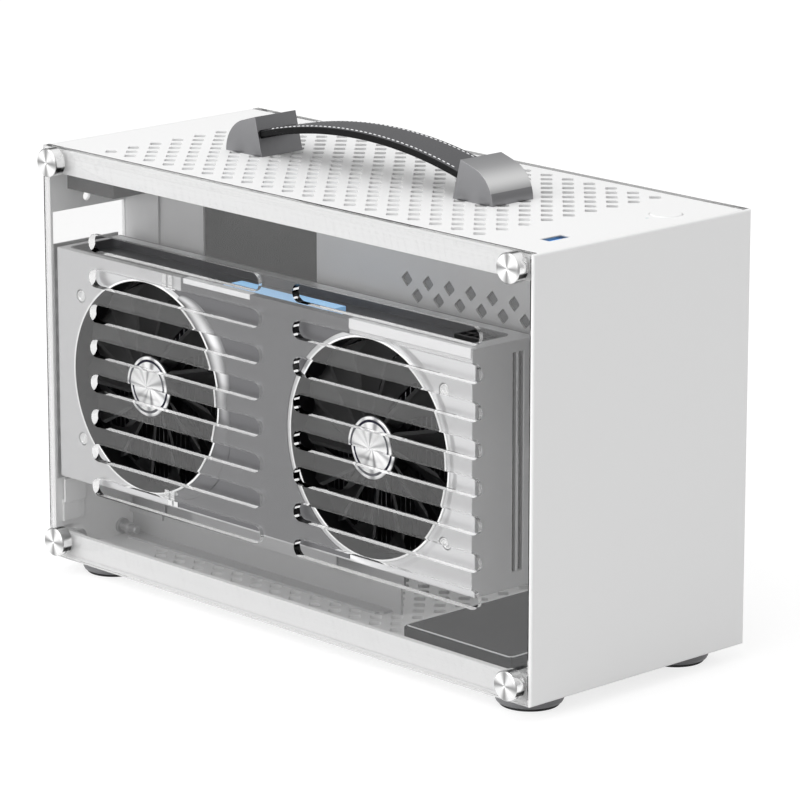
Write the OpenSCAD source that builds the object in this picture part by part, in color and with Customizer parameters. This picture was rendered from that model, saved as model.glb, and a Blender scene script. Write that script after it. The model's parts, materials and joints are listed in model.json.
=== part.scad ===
// Mini-ITX computer case with clear slotted side windows, a leather carry handle and the parts
// installed in it. X runs across the case, Y from the front plate to the rear plate, Z up.
// The origin is the middle of the floor that the feet stand on.

/* [Case body] */
// Width over the two side windows
case_w = 138.8; // [136:0.2:146]
// Length from the front face to the rear face
case_l = 334.4; // [330:0.2:350]
// Height of the body without its feet
case_h = 205; // [200:1:220]
// Thickness of the top, bottom and rear plates
sheet_t = 2; // [1.5:0.1:2.4]
// Thickness of the front plate
front_t = 1.5; // [1.4:0.1:2.6]
// Rounding of the front plate's outer edges
front_edge_r = 1.1; // [0.4:0.1:1.4]
// Thickness of the rails that the windows seat on
rail_t = 3; // [2.4:0.1:3.6]
// Height of a rail over its plate
rail_h = 10.7; // [10:0.1:14]
// Thickness of the corner lugs folded back from the end plates
lug_t = 1.5; // [1:0.1:2]
// Length of a corner lug along the case
lug_l = 18; // [16:0.5:24]

/* [Perforation] */
// Distance between holes in one row
hole_pitch = 14; // [13:0.5:18]
// Side of one diamond hole
hole_side = 5.4; // [4:0.1:6]
// Rounding of a hole's corners
hole_r = 0.9; // [0.4:0.1:1.4]
// From the plate's long edge to the outermost holes
lattice_side = 13.4; // [12.4:0.1:24]
// From the front face to the first row
lattice_front = 47.2; // [44:0.1:60]
// From the rear face to the last row
lattice_rear = 35.2; // [34:0.1:50]
// How far the floor's holes lie in front of the top's
floor_shift = 3; // [0:0.1:7]

/* [Side windows] */
// Thickness of the acrylic
window_t = 4; // [3:0.1:5]
// Gap between a window and the edges of the plates that it covers
window_gap = 0.3; // [0.2:0.1:0.8]
// Gap between a window and the front plate
front_gap = 0.6; // [0.3:0.1:1]
// Height of one air slot
slot_h = 8.8; // [6:0.1:10]
// Distance between slots, one above the other
slot_pitch = 17.3; // [14:0.1:19]
// Number of slots in each column
slot_count = 8; // [4:1:9]
// Length of one slot
slot_l = 122.5; // [90:0.5:126]
// Solid strip between the two columns
slot_column_gap = 23; // [16:0.5:30]

/* [Thumb screws] */
// Diameter of a thumb screw's head on the left window
thumb_d = 14; // [10:0.2:14.4]
// Diameter of the plainer heads on the right window
plain_thumb_d = 7; // [6.6:0.2:14.4]
// Length of the head
thumb_h = 6.5; // [4:0.1:9]
// Diameter of the screw's shank
shank_d = 4; // [3:0.1:4.6]
// Running clearance between a shank and its bush, on the radius
shank_fit = 0.05; // [0.02:0.01:0.09]
// Screw axis from the end faces
screw_end = 10; // [9:0.1:12]
// Screw axis below the top face
screw_top = 6.6; // [6.4:0.1:8]
// Screw axis above the underside
screw_bottom = 9.3; // [7:0.1:10]
// Wall of a threaded bush
bush_wall = 1.15; // [0.8:0.05:1.4]
// Wall of a bush's collar
bush_collar_wall = 2.2; // [1.6:0.05:2.3]
// Thickness of a bush's collar
bush_collar_t = 2.5; // [1.5:0.1:4]
// Length of a bush's nose past the collar
bush_nose = 3.4; // [2:0.1:3.6]

/* [Feet] */
// Diameter of a foot
foot_d = 31.2; // [26:0.2:34]
// Height of a foot
foot_h = 7.6; // [6:0.1:12]
// Thickness of the pad under a foot
foot_pad_t = 1.1; // [0.8:0.1:2]
// Foot centre from the side faces
foot_side = 22.1; // [18:0.1:26]
// Foot centre from the end faces
foot_end = 22.7; // [18:0.1:24]

/* [Handle] */
// Width of a handle block
block_w = 26; // [20:0.5:32]
// Length of a block along the case
block_l = 25.8; // [22:0.1:30]
// Height of a block
block_h = 18.8; // [16:0.1:24]
// How far the inner face leans back
block_lean = 4.9; // [2:0.1:6]
// Where the flat top turns into the round back
block_crease = 13.5; // [10:0.1:15]
// Fall of the flat top towards the round back
block_fall = 2.6; // [1:0.1:4]
// Middle of the handle, behind the middle of the case
handle_y = 6.75; // [0:0.25:12]
// Clear distance between the two blocks at their feet
handle_span = 130.5; // [110:0.5:150]
// Width of the leather strap
strap_w = 23; // [16:0.5:24]
// Thickness of the strap
strap_t = 3.6; // [3:0.1:4.5]
// Top of the strap above the top plate, at its middle
strap_rise = 21.4; // [20:0.1:24]
// Rise of the strap from the block faces to its middle
strap_sag = 8.4; // [6:0.1:10]
// How far the strap runs into a block
strap_hold = 9; // [6:0.5:10]

/* [Front controls] */
// Diameter of the power button
button_d = 15; // [10:0.5:16]
// Gap round the button
button_gap = 0.25; // [0.15:0.05:0.5]
// Travel of the button
button_travel = 1.2; // [0.6:0.1:2]
// Button centre from the middle of the case
button_x = 33.3; // [28:0.1:40]
// Row of controls from the front face
controls_y = 19; // [17:0.1:21]
// Light centre from the middle of the case
led_x = 20.9; // [16:0.1:22]
// Diameter of the light pipe
led_d = 1.6; // [1:0.1:3]
// Middle of the USB socket from the middle of the case, on the other side
usb_x = 38.2; // [34:0.1:44]
// Depth of the control board below the top plate
io_drop = 11; // [10:0.5:13]

/* [Tray] */
// Left face of the centre divider from the middle of the case
divider_x = 17.1; // [16:0.1:19]
// Thickness of the divider
divider_t = 1.2; // [1:0.1:1.6]
// Front edge of the divider's lower half, from the front face
divider_front = 136.6; // [130:0.5:146]
// Lower edge of the divider's front wing, below the ceiling
wing_drop = 53; // [51:1:60]
// Width of the flange on the floor
flange_w = 8.4; // [6:0.1:12]
// Height of the standoffs under the main board
standoff_h = 6.5; // [5:0.1:8]

/* [Graphics card] */
// Length of the card
card_l = 288; // [270:1:292]
// Height of the card
card_h = 114.5; // [108:0.5:118]
// Thickness of the card
card_t = 40; // [36:0.5:41]
// Gap between the window and the card
card_gap = 1.4; // [0.8:0.1:3]
// Gap between the rear plate and the card's housing
card_rear_gap = 3.2; // [2.4:0.1:5]
// Underside of the card above the underside of the case
card_z = 40.5; // [38:0.5:44]
// Wall of the card's housing
card_wall = 1.8; // [1.2:0.1:2.4]
// Depth of the tray in the card's top
tray_depth = 5.5; // [4:0.1:9]
// Gap between a fan's duct and the tray
duct_gap = 0.6; // [0.4:0.1:3]
// Clearance between the blades and the duct
fan_tip_gap = 1.8; // [1:0.1:3]
// Rear fan centre from the rear end of the card
fan_rear = 64.1; // [58:0.1:72]
// Front fan centre from the front end of the card
fan_front = 68; // [60:0.1:74]
// Fan centres above the middle of the housing below the tray
fan_shift = 1.7; // [0:0.1:2.4]
// Number of blades on a fan
blade_count = 13; // [7:1:15]
// Diameter of a fan's hub
hub_d = 30; // [24:0.5:36]
// Diameter of a fan's shaft
fan_shaft_d = 3; // [2:0.1:4]
// Running clearance of a fan on its shaft, on the radius
fan_fit = 0.06; // [0.02:0.01:0.09]

/* [Inlet and drive] */
// Width of the mains inlet's body
inlet_w = 28; // [27:0.5:30]
// Height of the mains inlet's body
inlet_h = 20.6; // [19:0.1:21]
// Depth of the mains inlet's body
inlet_l = 34.6; // [24:0.2:40]
// Left side of the mains inlet from the left face
inlet_x = 15.2; // [12:0.1:18]
// Length of the 2.5 inch drive
drive_l = 100; // [98:0.5:101]
// Width of the drive
drive_w = 69.85; // [69:0.05:71]
// Thickness of the drive
drive_t = 7; // [5:0.5:9.5]
// Left end of the drive from the left face
drive_x = 27.4; // [22:0.1:32]
// Front side of the drive from the front face
drive_y = 38.2; // [34:0.1:46]

/* [Hidden] */
$fn = 48;
small = 0.01;

// Planes of the case: its underside, top face, floor and ceiling, and the inner faces of its ends
base_z = foot_h;
top_z = foot_h + case_h;
floor_z = base_z + sheet_t;
ceil_z = top_z - sheet_t;
front_y = -case_l / 2;
rear_y = case_l / 2;
front_in = front_y + front_t;
rear_in = rear_y - sheet_t;
side_x = case_w / 2;
window_in = side_x - window_t;
plate_x = window_in - window_gap;
rail_in = window_in - rail_t;
lug_in = rail_in - lug_t;

// Axes of the thumb screws, the bushes that they turn in and the holes that the bushes fill
screw_ys = [front_y + screw_end, rear_y - screw_end];
screw_z_top = top_z - screw_top;
screw_z_bottom = base_z + screw_bottom;
bush_bore_r = shank_d / 2 + shank_fit;
bush_r = bush_bore_r + bush_wall;
bush_collar_r = bush_bore_r + bush_collar_wall;
bush_tip = lug_in - bush_collar_t - bush_nose;
window_hole_r = shank_d / 2 + 0.6;
slots_low = 0.5;
head_chamfer = 0.5;
head_dimple = [0.7, 1.1, 0.3];

// Lattice of diamond holes shared by the top and bottom plates, and its columns and rows
half_pitch = hole_pitch / 2;
lattice_x = side_x - lattice_side;
columns = floor(lattice_x / half_pitch + small);
rows = floor((case_l - lattice_front - lattice_rear) / half_pitch + small);

// Handle: block feet, strap arc and the screws that hold both
blocks_in = [handle_y - handle_span / 2, handle_y + handle_span / 2];
block_arc_r = ((block_l - block_crease) ^ 2 + (block_h - block_fall) ^ 2) / (2 * (block_l - block_crease));
strap_r = ((handle_span / 2) ^ 2 + strap_sag ^ 2) / (2 * strap_sag);
strap_centre_z = top_z + strap_rise - strap_r;
strap_end = handle_span / 2 + strap_hold;
handle_screw_r = 2;
screw_play = 0.1;
handle_screw_x = block_w / 4;
block_screw_y = block_l / 2 + 3;
strap_screw_y = strap_hold - 3;
screw_head_t = 1.6;
screw_head_r = 3.4;

// Controls at the front of the top plate
control_row = front_y + controls_y;
usb_row = control_row - 1.1;
usb_w = 13.1;
usb_t = 5.7;
usb_wall = 0.3;
usb_corner = 0.6;
usb_fit = 0.2;
io_w = 15;
io_t = 1.6;
io_z = ceil_z - io_drop;
io_side = 12;
button_stem_r = 2.4;
button_flange_t = 1.2;
button_flange_r = button_d / 2 + 1.2;
button_top = top_z + 0.3;
switch_r = 4.4;
led_fit = 0.05;
boss_r = 3;
boss_xs = [-24, 2];
close_play = 0.05;

// Divider, the main board on its standoffs and the power supply
divider_l = -divider_x;
divider_r = divider_l + divider_t;
divider_rear = rear_in - 1.4;
divider_low_front = front_y + divider_front;
wing_bottom = ceil_z - wing_drop;
wing_front = front_in + lug_l + 1;
wing_notch_y = control_row + 12;
wing_notch_z = ceil_z - io_drop - 5;
angle_l = 25;
angle_foot = 5.4;
board_side = 170;
board_t = 1.6;
board_x = divider_r + standoff_h;
board_face = board_x + board_t;
board_y = rear_in - 1.2 - board_side;
board_lift = 2.5;
board_z = floor_z + (ceil_z - floor_z - board_side) / 2 + board_lift;
board_hole_in = 6.35;
board_holes = [for (y = [board_hole_in, board_side - board_hole_in],
    z = [board_hole_in, board_side - board_hole_in]) [y, z]];
board_hole_r = 1.9;
standoff_r = 3;
cooler_from = [33, 78, 19];
cooler_cut = [board_y + cooler_from[0], floor_z + cooler_from[1]];
cooler_cut_l = 81;
cooler_cut_top = ceil_z - cooler_from[2];
wing_row_drop = 38.4;
wing_row_z = ceil_z - wing_row_drop;
wing_row_y = divider_low_front - 4;
wing_holes = 12;
port_w = 44.45;
port_h = 158.75;
port_x = board_face - 3.6;
port_z = board_z + (board_side - port_h) / 2;
supply_w = 63.5;
supply_h = 100;
supply_front = control_row + io_w / 2 + 3.7;
supply_rear = board_y - 6;
supply_top = ceil_z - screw_head_t - 0.6;

// Graphics card, built from its own corner
card_x = -(window_in - card_gap);
card_back = card_x + card_t;
card_y1 = rear_in - card_rear_gap;
card_y0 = card_y1 - card_l;
card_z0 = base_z + card_z;
card_z1 = card_z0 + card_h;
fan_ys = [card_y1 - fan_rear, card_y0 + fan_front];
duct_wall = 1.2;
fan_z = (card_h - tray_depth) / 2 + fan_shift;
fan_axis_z = card_z0 + fan_z;
fan_r = card_h - tray_depth - duct_gap - duct_wall - fan_z;
blade_r = fan_r - fan_tip_gap;
hub_r = hub_d / 2;
backplate_t = 1.2;
pcb_t = 1.6;
pcb_x = card_back - backplate_t - 3.8;
rotor_x0 = card_x + 2;
rotor_t = 9;
cap_t = 0.8;
base_x0 = rotor_x0 + rotor_t + 0.6;
base_t = 2.4;
strut_w = 5;
base_rim = 1.5;
lip_w = 1.1;
lip_h = 0.5;
tray_x0 = card_x + 3.4;
tray_x1 = card_back - 7;
tray_y0 = card_y0 + 8;
tray_y1 = card_y1 - 3;
tray_floor = card_z1 - tray_depth;
rear_frame = 12;
tray_corner = 5;
tray_wall = 1;
tray_fit = 0.1;
screw_in = [17.4, 18.1];
screw_up = [21.8, 21.5];
screw_ring_y = [card_y1 - screw_in[0], card_y0 + screw_in[1]];
screw_ring_z = [card_z0 + screw_up[0], card_z1 - screw_up[1]];
card_screw_r = 1.5;
card_screw_head_r = 3;
card_screw_head_t = 1.2;
tab_l = 85;
tab_rear = 62;
tab_y0 = card_y1 - tab_rear - tab_l;
tab_drop = 7.3;
slot_w = 7.5;
slot_body_h = 11;
slot_body_l = 89;
pcb_mid = pcb_x + pcb_t / 2;
slot_top = card_z0 - 0.2;
slot_bottom = slot_top - slot_body_h;
riser_ahead = 15;
riser_l = slot_body_l + riser_ahead + 0.5;
riser_y0 = tab_y0 - riser_ahead;
riser_t = 1.2;
riser_lip = 8.6;
bracket_t = 1;
bracket_w = 40.6;

function both(a) = [-a, a];
function inner_point(p, keep) = len([for (k = keep) if (norm(p - [k[0], k[1]]) < k[2]) 1]) == 0;

module box_at(x0, x1, y0, y1, z0, z1) translate([x0, y0, z0]) cube([x1 - x0, y1 - y0, z1 - z0]);
module rod_x(x0, x1, y, z, r) translate([x0, y, z]) rotate([0, 90, 0]) cylinder(h = x1 - x0, r = r);
module rod_y(y0, y1, x, z, r) translate([x, y1, z]) rotate([90, 0, 0]) cylinder(h = y1 - y0, r = r);
module rod_z(z0, z1, x, y, r) translate([x, y, z0]) cylinder(h = z1 - z0, r = r);
// A side view drawn as (y, z) and given a width from x0 to x1
module from_side(x0, x1) translate([x0, 0, 0]) rotate([90, 0, 90]) linear_extrude(x1 - x0) children();
// A front view drawn as (x, z) and given a length from y0 to y1
module from_front(y0, y1) translate([0, y1, 0]) rotate([90, 0, 0]) linear_extrude(y1 - y0) children();

module rounded_rect(w, h, r) {
    square([w - 2 * r, h], center = true);
    square([w, h - 2 * r], center = true);
    for (x = both(w / 2 - r), y = both(h / 2 - r)) translate([x, y]) circle(r, $fn = 24);
}
module stadium(l, h) {
    square([l - h, h], center = true);
    for (x = both((l - h) / 2)) translate([x, 0]) circle(h / 2);
}
// Section of a plate whose two corners on the near side are rounded
module soft_front(w, t, r) difference() {
    translate([-w / 2, 0]) square([w, t]);
    for (side = [0, 1]) mirror([side, 0]) translate([w / 2 - r, r]) difference() {
        translate([0, -r - small]) square(r + small);
        circle(r, $fn = 32);
    }
}
module diamond() rotate(45) rounded_rect(hole_side, hole_side, hole_r);
// Every second row of the lattice is shifted by half a pitch; keep lists the spots left plain
module lattice(keep, shift) {
    for (row = [0 : rows]) {
        y = rear_y - lattice_rear - shift - row * half_pitch;
        for (column = [-columns + (columns + row) % 2 : 2 : columns]) {
            p = [column * half_pitch, y];
            if (inner_point(p, keep)) translate(p) diamond();
        }
    }
}

// Outer plates
module corner_lugs() {
    color("gainsboro") difference() {
        for (side = [-1, 1], y = [front_in, rear_in - lug_l], z = [floor_z, ceil_z - rail_h])
            box_at(min(side * lug_in, side * rail_in), max(side * lug_in, side * rail_in),
                y, y + lug_l, z, z + rail_h);
        for (y = screw_ys, z = [screw_z_bottom, screw_z_top]) rod_x(-side_x, side_x, y, z, bush_r);
    }
}
module front_panel() {
    color("gainsboro") intersection() {
        translate([0, front_y, base_z]) linear_extrude(case_h) soft_front(case_w, front_t, front_edge_r);
        translate([0, 0, base_z + case_h / 2]) from_side(-side_x, side_x)
            translate([front_y, 0]) mirror([1, 0]) rotate(90) soft_front(case_h, front_t, front_edge_r);
    }
}

inlet_x0 = -side_x + inlet_x;
inlet_z0 = ceil_z - 0.4 - inlet_h;
inlet_mid = [inlet_x0 + inlet_w / 2, inlet_z0 + inlet_h / 2];
card_window_x = [card_x + 0.3, divider_l - 1.4];
card_window_z = [card_z0 - 2.5, inlet_z0 - 10.4];
clamp_hole_r = 2.25;
clamp_hole = [(card_window_x[0] + card_window_x[1]) / 2 - 1.2, inlet_z0 - 5.3];
nose_w = 24.6;
nose_h = 17.2;
nose_corner = 3;
pocket_x = [card_x + 3, card_x + 16];
pocket_z = [base_z + 16, base_z + 27, base_z + 37.5];
pocket_step = 1.3;
pocket_t = 1.2;
vent_rows = 22;
vent_x = port_x + port_w + 15;
vent_z = port_z + 8;
module pocket_wall(y, z0, z1) box_at(pocket_x[0], pocket_x[1], y, y + pocket_t, z0, z1);
module rear_panel() {
    lip_z = pocket_z[1] - pocket_t;
    color("gainsboro") difference() {
        union() {
            box_at(-plate_x, plate_x, rear_in, rear_y, base_z, top_z);
            pocket_wall(rear_in - pocket_t + small, pocket_z[0], pocket_z[1]);
            pocket_wall(rear_in - pocket_t - pocket_step, lip_z, pocket_z[2]);
            pocket_wall(rear_in - pocket_t - pocket_step + small, lip_z, pocket_z[1]);
            pocket_wall(rear_in - 2 * pocket_t + small, lip_z, pocket_z[1]);
        }
        from_front(rear_in - small, rear_y + small) {
            translate([card_window_x[0], card_window_z[0]])
                square([card_window_x[1] - card_window_x[0], card_window_z[1] - card_window_z[0]]);
            translate([port_x, port_z]) square([port_w, port_h]);
            translate(inlet_mid) rounded_rect(nose_w, nose_h, nose_corner);
            for (row = [0 : vent_rows - 1]) for (column = row % 2 == 0 ? both(half_pitch) : [0])
                translate([vent_x + column, vent_z + row * half_pitch]) diamond();
        }
        rod_y(rear_in - small, rear_y + small, clamp_hole[0], clamp_hole[1], clamp_hole_r);
    }
}

// Spots of the plates that stay plain, each with the radius that no hole centre enters
handle_screws_at = [
    for (end = [0, 1], x = both(handle_screw_x)) [x, blocks_in[end] + (end == 0 ? -1 : 1) * block_screw_y],
    for (end = [0, 1]) [0, blocks_in[end] + (end == 0 ? -1 : 1) * strap_screw_y]];
drive_hole_x = [14, 90.6];
drive_hole_y = 30.86;
drive_holes_at = [for (x = drive_hole_x, y = both(drive_hole_y))
    [-side_x + drive_x + drive_l - x, front_y + drive_y + drive_w / 2 + y]];
top_keep = [for (p = handle_screws_at) [p[0], p[1], 6.4]];
bottom_keep = [for (p = drive_holes_at) [p[0], p[1], 5.4]];
feet_at = [for (x = both(side_x - foot_side), y = both(case_l / 2 - foot_end)) [x, y]];
foot_screw_r = 2;
module top_panel() {
    color("white") translate([0, 0, ceil_z]) linear_extrude(sheet_t) difference() {
        translate([-plate_x, front_in]) square([2 * plate_x, rear_in - front_in]);
        lattice(top_keep, 0);
        for (p = handle_screws_at) translate(p) circle(handle_screw_r + screw_play);
        translate([button_x, control_row]) circle(button_d / 2 + button_gap);
        translate([led_x, control_row]) circle(led_d / 2 + led_fit);
        translate([-usb_x, usb_row]) rounded_rect(usb_w + 2 * usb_fit, usb_t + 2 * usb_fit, usb_corner);
    }
}
module bottom_panel() {
    color("white") translate([0, 0, base_z]) linear_extrude(sheet_t) difference() {
        translate([-plate_x, front_in]) square([2 * plate_x, rear_in - front_in]);
        lattice(bottom_keep, floor_shift);
        for (p = drive_holes_at) translate(p) circle(1.6);
        for (p = feet_at) translate(p) circle(foot_screw_r + screw_play);
    }
}
module rail(side, z0, screw_z) {
    color("white") difference() {
        box_at(min(side * rail_in, side * window_in), max(side * rail_in, side * window_in),
            front_in, rear_in, z0, z0 + rail_h);
        for (y = screw_ys) rod_x(-side_x, side_x, y, screw_z, bush_r);
    }
}
// Threaded bush: a barrel pressed through rail and lug, a collar against the lug and a stepped nose
module window_bush(side) {
    rotate([0, side * 90, 0]) translate([0, 0, bush_tip]) difference() {
        union() {
            cylinder(h = window_in - bush_tip, r = bush_r);
            translate([0, 0, bush_nose]) cylinder(h = bush_collar_t, r = bush_collar_r);
        }
        translate([0, 0, -small]) cylinder(h = side_x, r = bush_bore_r);
    }
}
module window_bushes() {
    color("silver") for (y = screw_ys, z = [screw_z_bottom, screw_z_top], side = [-1, 1])
        translate([0, y, z]) window_bush(side);
}

// Side windows and their thumb screws
module window(side) {
    y0 = front_in + front_gap;
    column_y = (slot_l + slot_column_gap) / 2;
    middle_z = base_z + case_h / 2 - slots_low;
    color([0.85, 0.9, 0.93, 0.4]) from_side(side < 0 ? -side_x : window_in, side < 0 ? -window_in : side_x)
    difference() {
        translate([y0, base_z]) square([rear_y - y0, case_h]);
        for (y = both(column_y), i = [0 : slot_count - 1])
            translate([y, middle_z + (i - (slot_count - 1) / 2) * slot_pitch]) stadium(slot_l, slot_h);
        for (y = screw_ys, z = [screw_z_bottom, screw_z_top]) translate([y, z]) circle(window_hole_r);
    }
}
module thumb_screw(side, y, z) {
    c = head_chamfer;
    shank_r = shank_d / 2;
    head_r = (side < 0 ? thumb_d : plain_thumb_d) / 2;
    end_x = side_x + thumb_h;
    tip = bush_tip + 1;
    color("silver") translate([0, y, z]) rotate([0, side * 90, 0]) rotate_extrude()
        polygon([[0, tip], [shank_r - c, tip], [shank_r, tip + c], [shank_r, side_x], [head_r - c, side_x],
            [head_r, side_x + c], [head_r, end_x - c], [head_r - c, end_x], [head_dimple[1], end_x],
            [head_dimple[0], end_x - head_dimple[2]], [0, end_x - head_dimple[2]]]);
}

// Inside of the case
flange_corner = 6;
module centre_divider() {
    flange_y0 = divider_low_front + flange_corner;
    color("gainsboro") union() {
        from_side(divider_l, divider_r) difference() {
            polygon([[divider_rear, floor_z], [divider_low_front, floor_z], [divider_low_front, wing_bottom],
                [wing_front, wing_bottom], [wing_front, wing_notch_z], [wing_notch_y, wing_notch_z],
                [wing_notch_y, ceil_z], [divider_rear, ceil_z]]);
            translate(cooler_cut) square([cooler_cut_l, cooler_cut_top - cooler_cut[1]]);
            for (i = [0 : wing_holes - 1])
                translate([wing_row_y - i * half_pitch, wing_row_z - (i % 2) * half_pitch]) diamond();
        }
        translate([0, 0, floor_z]) linear_extrude(divider_t) difference() {
            translate([divider_l - flange_w, flange_y0])
                square([flange_w + small, divider_rear - flange_corner - flange_y0]);
            translate([divider_l - flange_w, flange_y0]) circle(flange_corner / 2);
        }
        for (p = board_holes) rod_x(divider_r - small, board_x, board_y + p[0], board_z + p[1], standoff_r);
    }
}
module divider_rear_angle() {
    x0 = divider_l - divider_t;
    foot = divider_t + min(port_x - divider_l, angle_foot);
    z0 = floor_z + rail_h;
    color("gainsboro") translate([0, 0, z0]) linear_extrude(ceil_z - rail_h - z0) union() {
        translate([x0, rear_in - angle_l]) square([divider_t, angle_l]);
        translate([x0, rear_in - divider_t]) square([foot, divider_t]);
    }
}
module rear_wall_post() {
    color("silver") translate([divider_l - 6.4, rear_in, floor_z + 4.4]) rotate([90, 0, 0]) rotate_extrude()
        polygon([[0, 0], [3.9, 0], [3.9, 1.6], [2.2, 1.6], [2.2, 4.4], [3, 5], [3, 7], [2.2, 7.6],
            [2.2, 11.6], [1.7, 12.4], [0, 12.4]]);
}

// Feet, each with a rubber pad and a screw up into the bottom plate
foot_edge = 1.8;
foot_rim = 0.6;
foot_pad_r = foot_d / 2 - foot_edge;
foot_bore_r = foot_screw_r + screw_play;
pad_bore_r = foot_screw_r + 2.4;
pad_chamfer = 0.3;
foot_nut_t = 2.4;
module feet() {
    r = foot_d / 2;
    t = foot_pad_t;
    color("dimgray") for (p = feet_at) translate([p[0], p[1], 0]) rotate_extrude()
        polygon([[foot_bore_r, base_z], [r - foot_rim, base_z], [r, base_z - foot_rim],
            [r, t + 0.9 * foot_edge], [r - 0.3 * foot_edge, t + 0.3 * foot_edge], [foot_pad_r, t],
            [foot_bore_r, t]]);
}
module foot_pads() {
    color("black") for (p = feet_at) translate([p[0], p[1], 0]) rotate_extrude()
        polygon([[pad_bore_r, 0], [foot_pad_r - pad_chamfer, 0], [foot_pad_r, pad_chamfer],
            [foot_pad_r, foot_pad_t], [pad_bore_r, foot_pad_t]]);
}
module foot_screws() {
    color("silver") for (p = feet_at) translate([p[0], p[1], 0]) union() {
        rod_z(pad_chamfer, foot_pad_t, 0, 0, foot_screw_r + 2);
        rod_z(foot_pad_t - small, floor_z + foot_nut_t + 0.6, 0, 0, foot_screw_r);
        rod_z(floor_z, floor_z + foot_nut_t, 0, 0, foot_screw_r + 1.6);
    }
}

// Carry handle
module strap_arc(t_extra, reach) {
    intersection() {
        difference() {
            translate([handle_y, strap_centre_z]) circle(strap_r + t_extra, $fn = 360);
            translate([handle_y, strap_centre_z]) circle(strap_r - strap_t - t_extra, $fn = 360);
        }
        translate([handle_y - reach, top_z]) square([2 * reach, strap_rise + 4]);
    }
}
strap_play = 0.1;
tip_depth = 8.6;
function screw_tip(p) = top_z
    + (p[0] == 0 ? strap_rise - strap_sag + 0.4 : block_h - block_fall - tip_depth);
// Outline of a block from its inner foot: leaning inner face, sloping top and round back
module block_outline() {
    crease_z = block_h - block_fall;
    difference() {
        polygon([[0, 0], [block_lean, block_h], [block_crease, crease_z], [block_l, crease_z],
            [block_l, 0]]);
        difference() {
            translate([block_crease, 0]) square([block_l, block_h]);
            translate([block_l - block_arc_r, 0]) circle(block_arc_r, $fn = 180);
        }
    }
}
module handle_block(end) {
    out = end == 0 ? -1 : 1;
    color("gray") difference() {
        from_side(-block_w / 2, block_w / 2) translate([blocks_in[end], top_z]) mirror([end == 0 ? 1 : 0, 0])
            block_outline();
        from_side(-strap_w / 2 - 2 * strap_play, strap_w / 2 + 2 * strap_play)
            strap_arc(strap_play, strap_end + 3 * strap_play);
        for (p = handle_screws_at) if (out * (p[1] - handle_y) > 0)
            rod_z(top_z - small, screw_tip(p) + 0.3, p[0], p[1], handle_screw_r + close_play);
    }
}
module handle_strap() {
    color("#3a3a3c") difference() {
        from_side(-strap_w / 2, strap_w / 2) strap_arc(0, strap_end);
        for (p = handle_screws_at) if (p[0] == 0)
            rod_z(top_z, top_z + 2 * block_h, p[0], p[1], handle_screw_r + screw_play);
    }
}
module handle_screws() {
    color("silver") for (p = handle_screws_at) {
        rod_z(ceil_z - screw_head_t, ceil_z, p[0], p[1], screw_head_r);
        rod_z(ceil_z - small, screw_tip(p), p[0], p[1], handle_screw_r);
    }
}

// Controls
button_rim = 0.4;
button_play = 0.08;
switch_floor = 0.8;
module power_button() {
    r = button_d / 2;
    flange_z = ceil_z - button_play;
    tip = io_z + 1 + button_travel;
    color("white") translate([button_x, control_row, 0]) rotate_extrude()
        polygon([[0, button_top], [r - button_rim, button_top], [r, button_top - button_rim], [r, flange_z],
            [button_flange_r, flange_z], [button_flange_r, flange_z - button_flange_t],
            [button_stem_r, flange_z - button_flange_t], [button_stem_r, tip], [0, tip]]);
}
module power_led() {
    color("lightcyan") translate([led_x, control_row, 0]) union() {
        rod_z(io_z, top_z, 0, 0, led_d / 2);
        rod_z(io_z, ceil_z - 0.2, 0, 0, led_d / 2 + 0.7);
    }
}
usb_low = 0.3;
usb_base_h = 3;
tongue = [11.1, 1.9];
tongue_low = 1.4;
module usb_socket() {
    color("silver") translate([-usb_x, usb_row, io_z]) linear_extrude(top_z - usb_low - io_z) difference() {
        rounded_rect(usb_w, usb_t, usb_corner);
        rounded_rect(usb_w - 2 * usb_wall, usb_t - 2 * usb_wall, usb_corner / 2);
    }
}
module usb_tongue() {
    inner = [usb_w - 2 * usb_wall - screw_play, usb_t - 2 * usb_wall - screw_play];
    color("dodgerblue") translate([-usb_x, usb_row, io_z]) union() {
        linear_extrude(usb_base_h) rounded_rect(inner[0], inner[1], usb_corner / 2);
        translate([-tongue[0] / 2, 0.2, 0]) cube([tongue[0], tongue[1], top_z - io_z - tongue_low]);
    }
}
// Control board with its standoffs up to the top plate and the switch under the button
module io_board() {
    switch_top = ceil_z - button_flange_t - button_travel - 0.6;
    color("black") difference() {
        union() {
            translate([-usb_x - io_side, control_row - io_w / 2, io_z - io_t])
                cube([usb_x + button_x + 1.7 * io_side, io_w, io_t]);
            for (x = boss_xs) rod_z(io_z - small, ceil_z, x, control_row, boss_r);
            rod_z(io_z - small, switch_top, button_x, control_row, switch_r);
        }
        rod_z(io_z + switch_floor, ceil_z, button_x, control_row, button_stem_r + button_play);
    }
}

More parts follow.
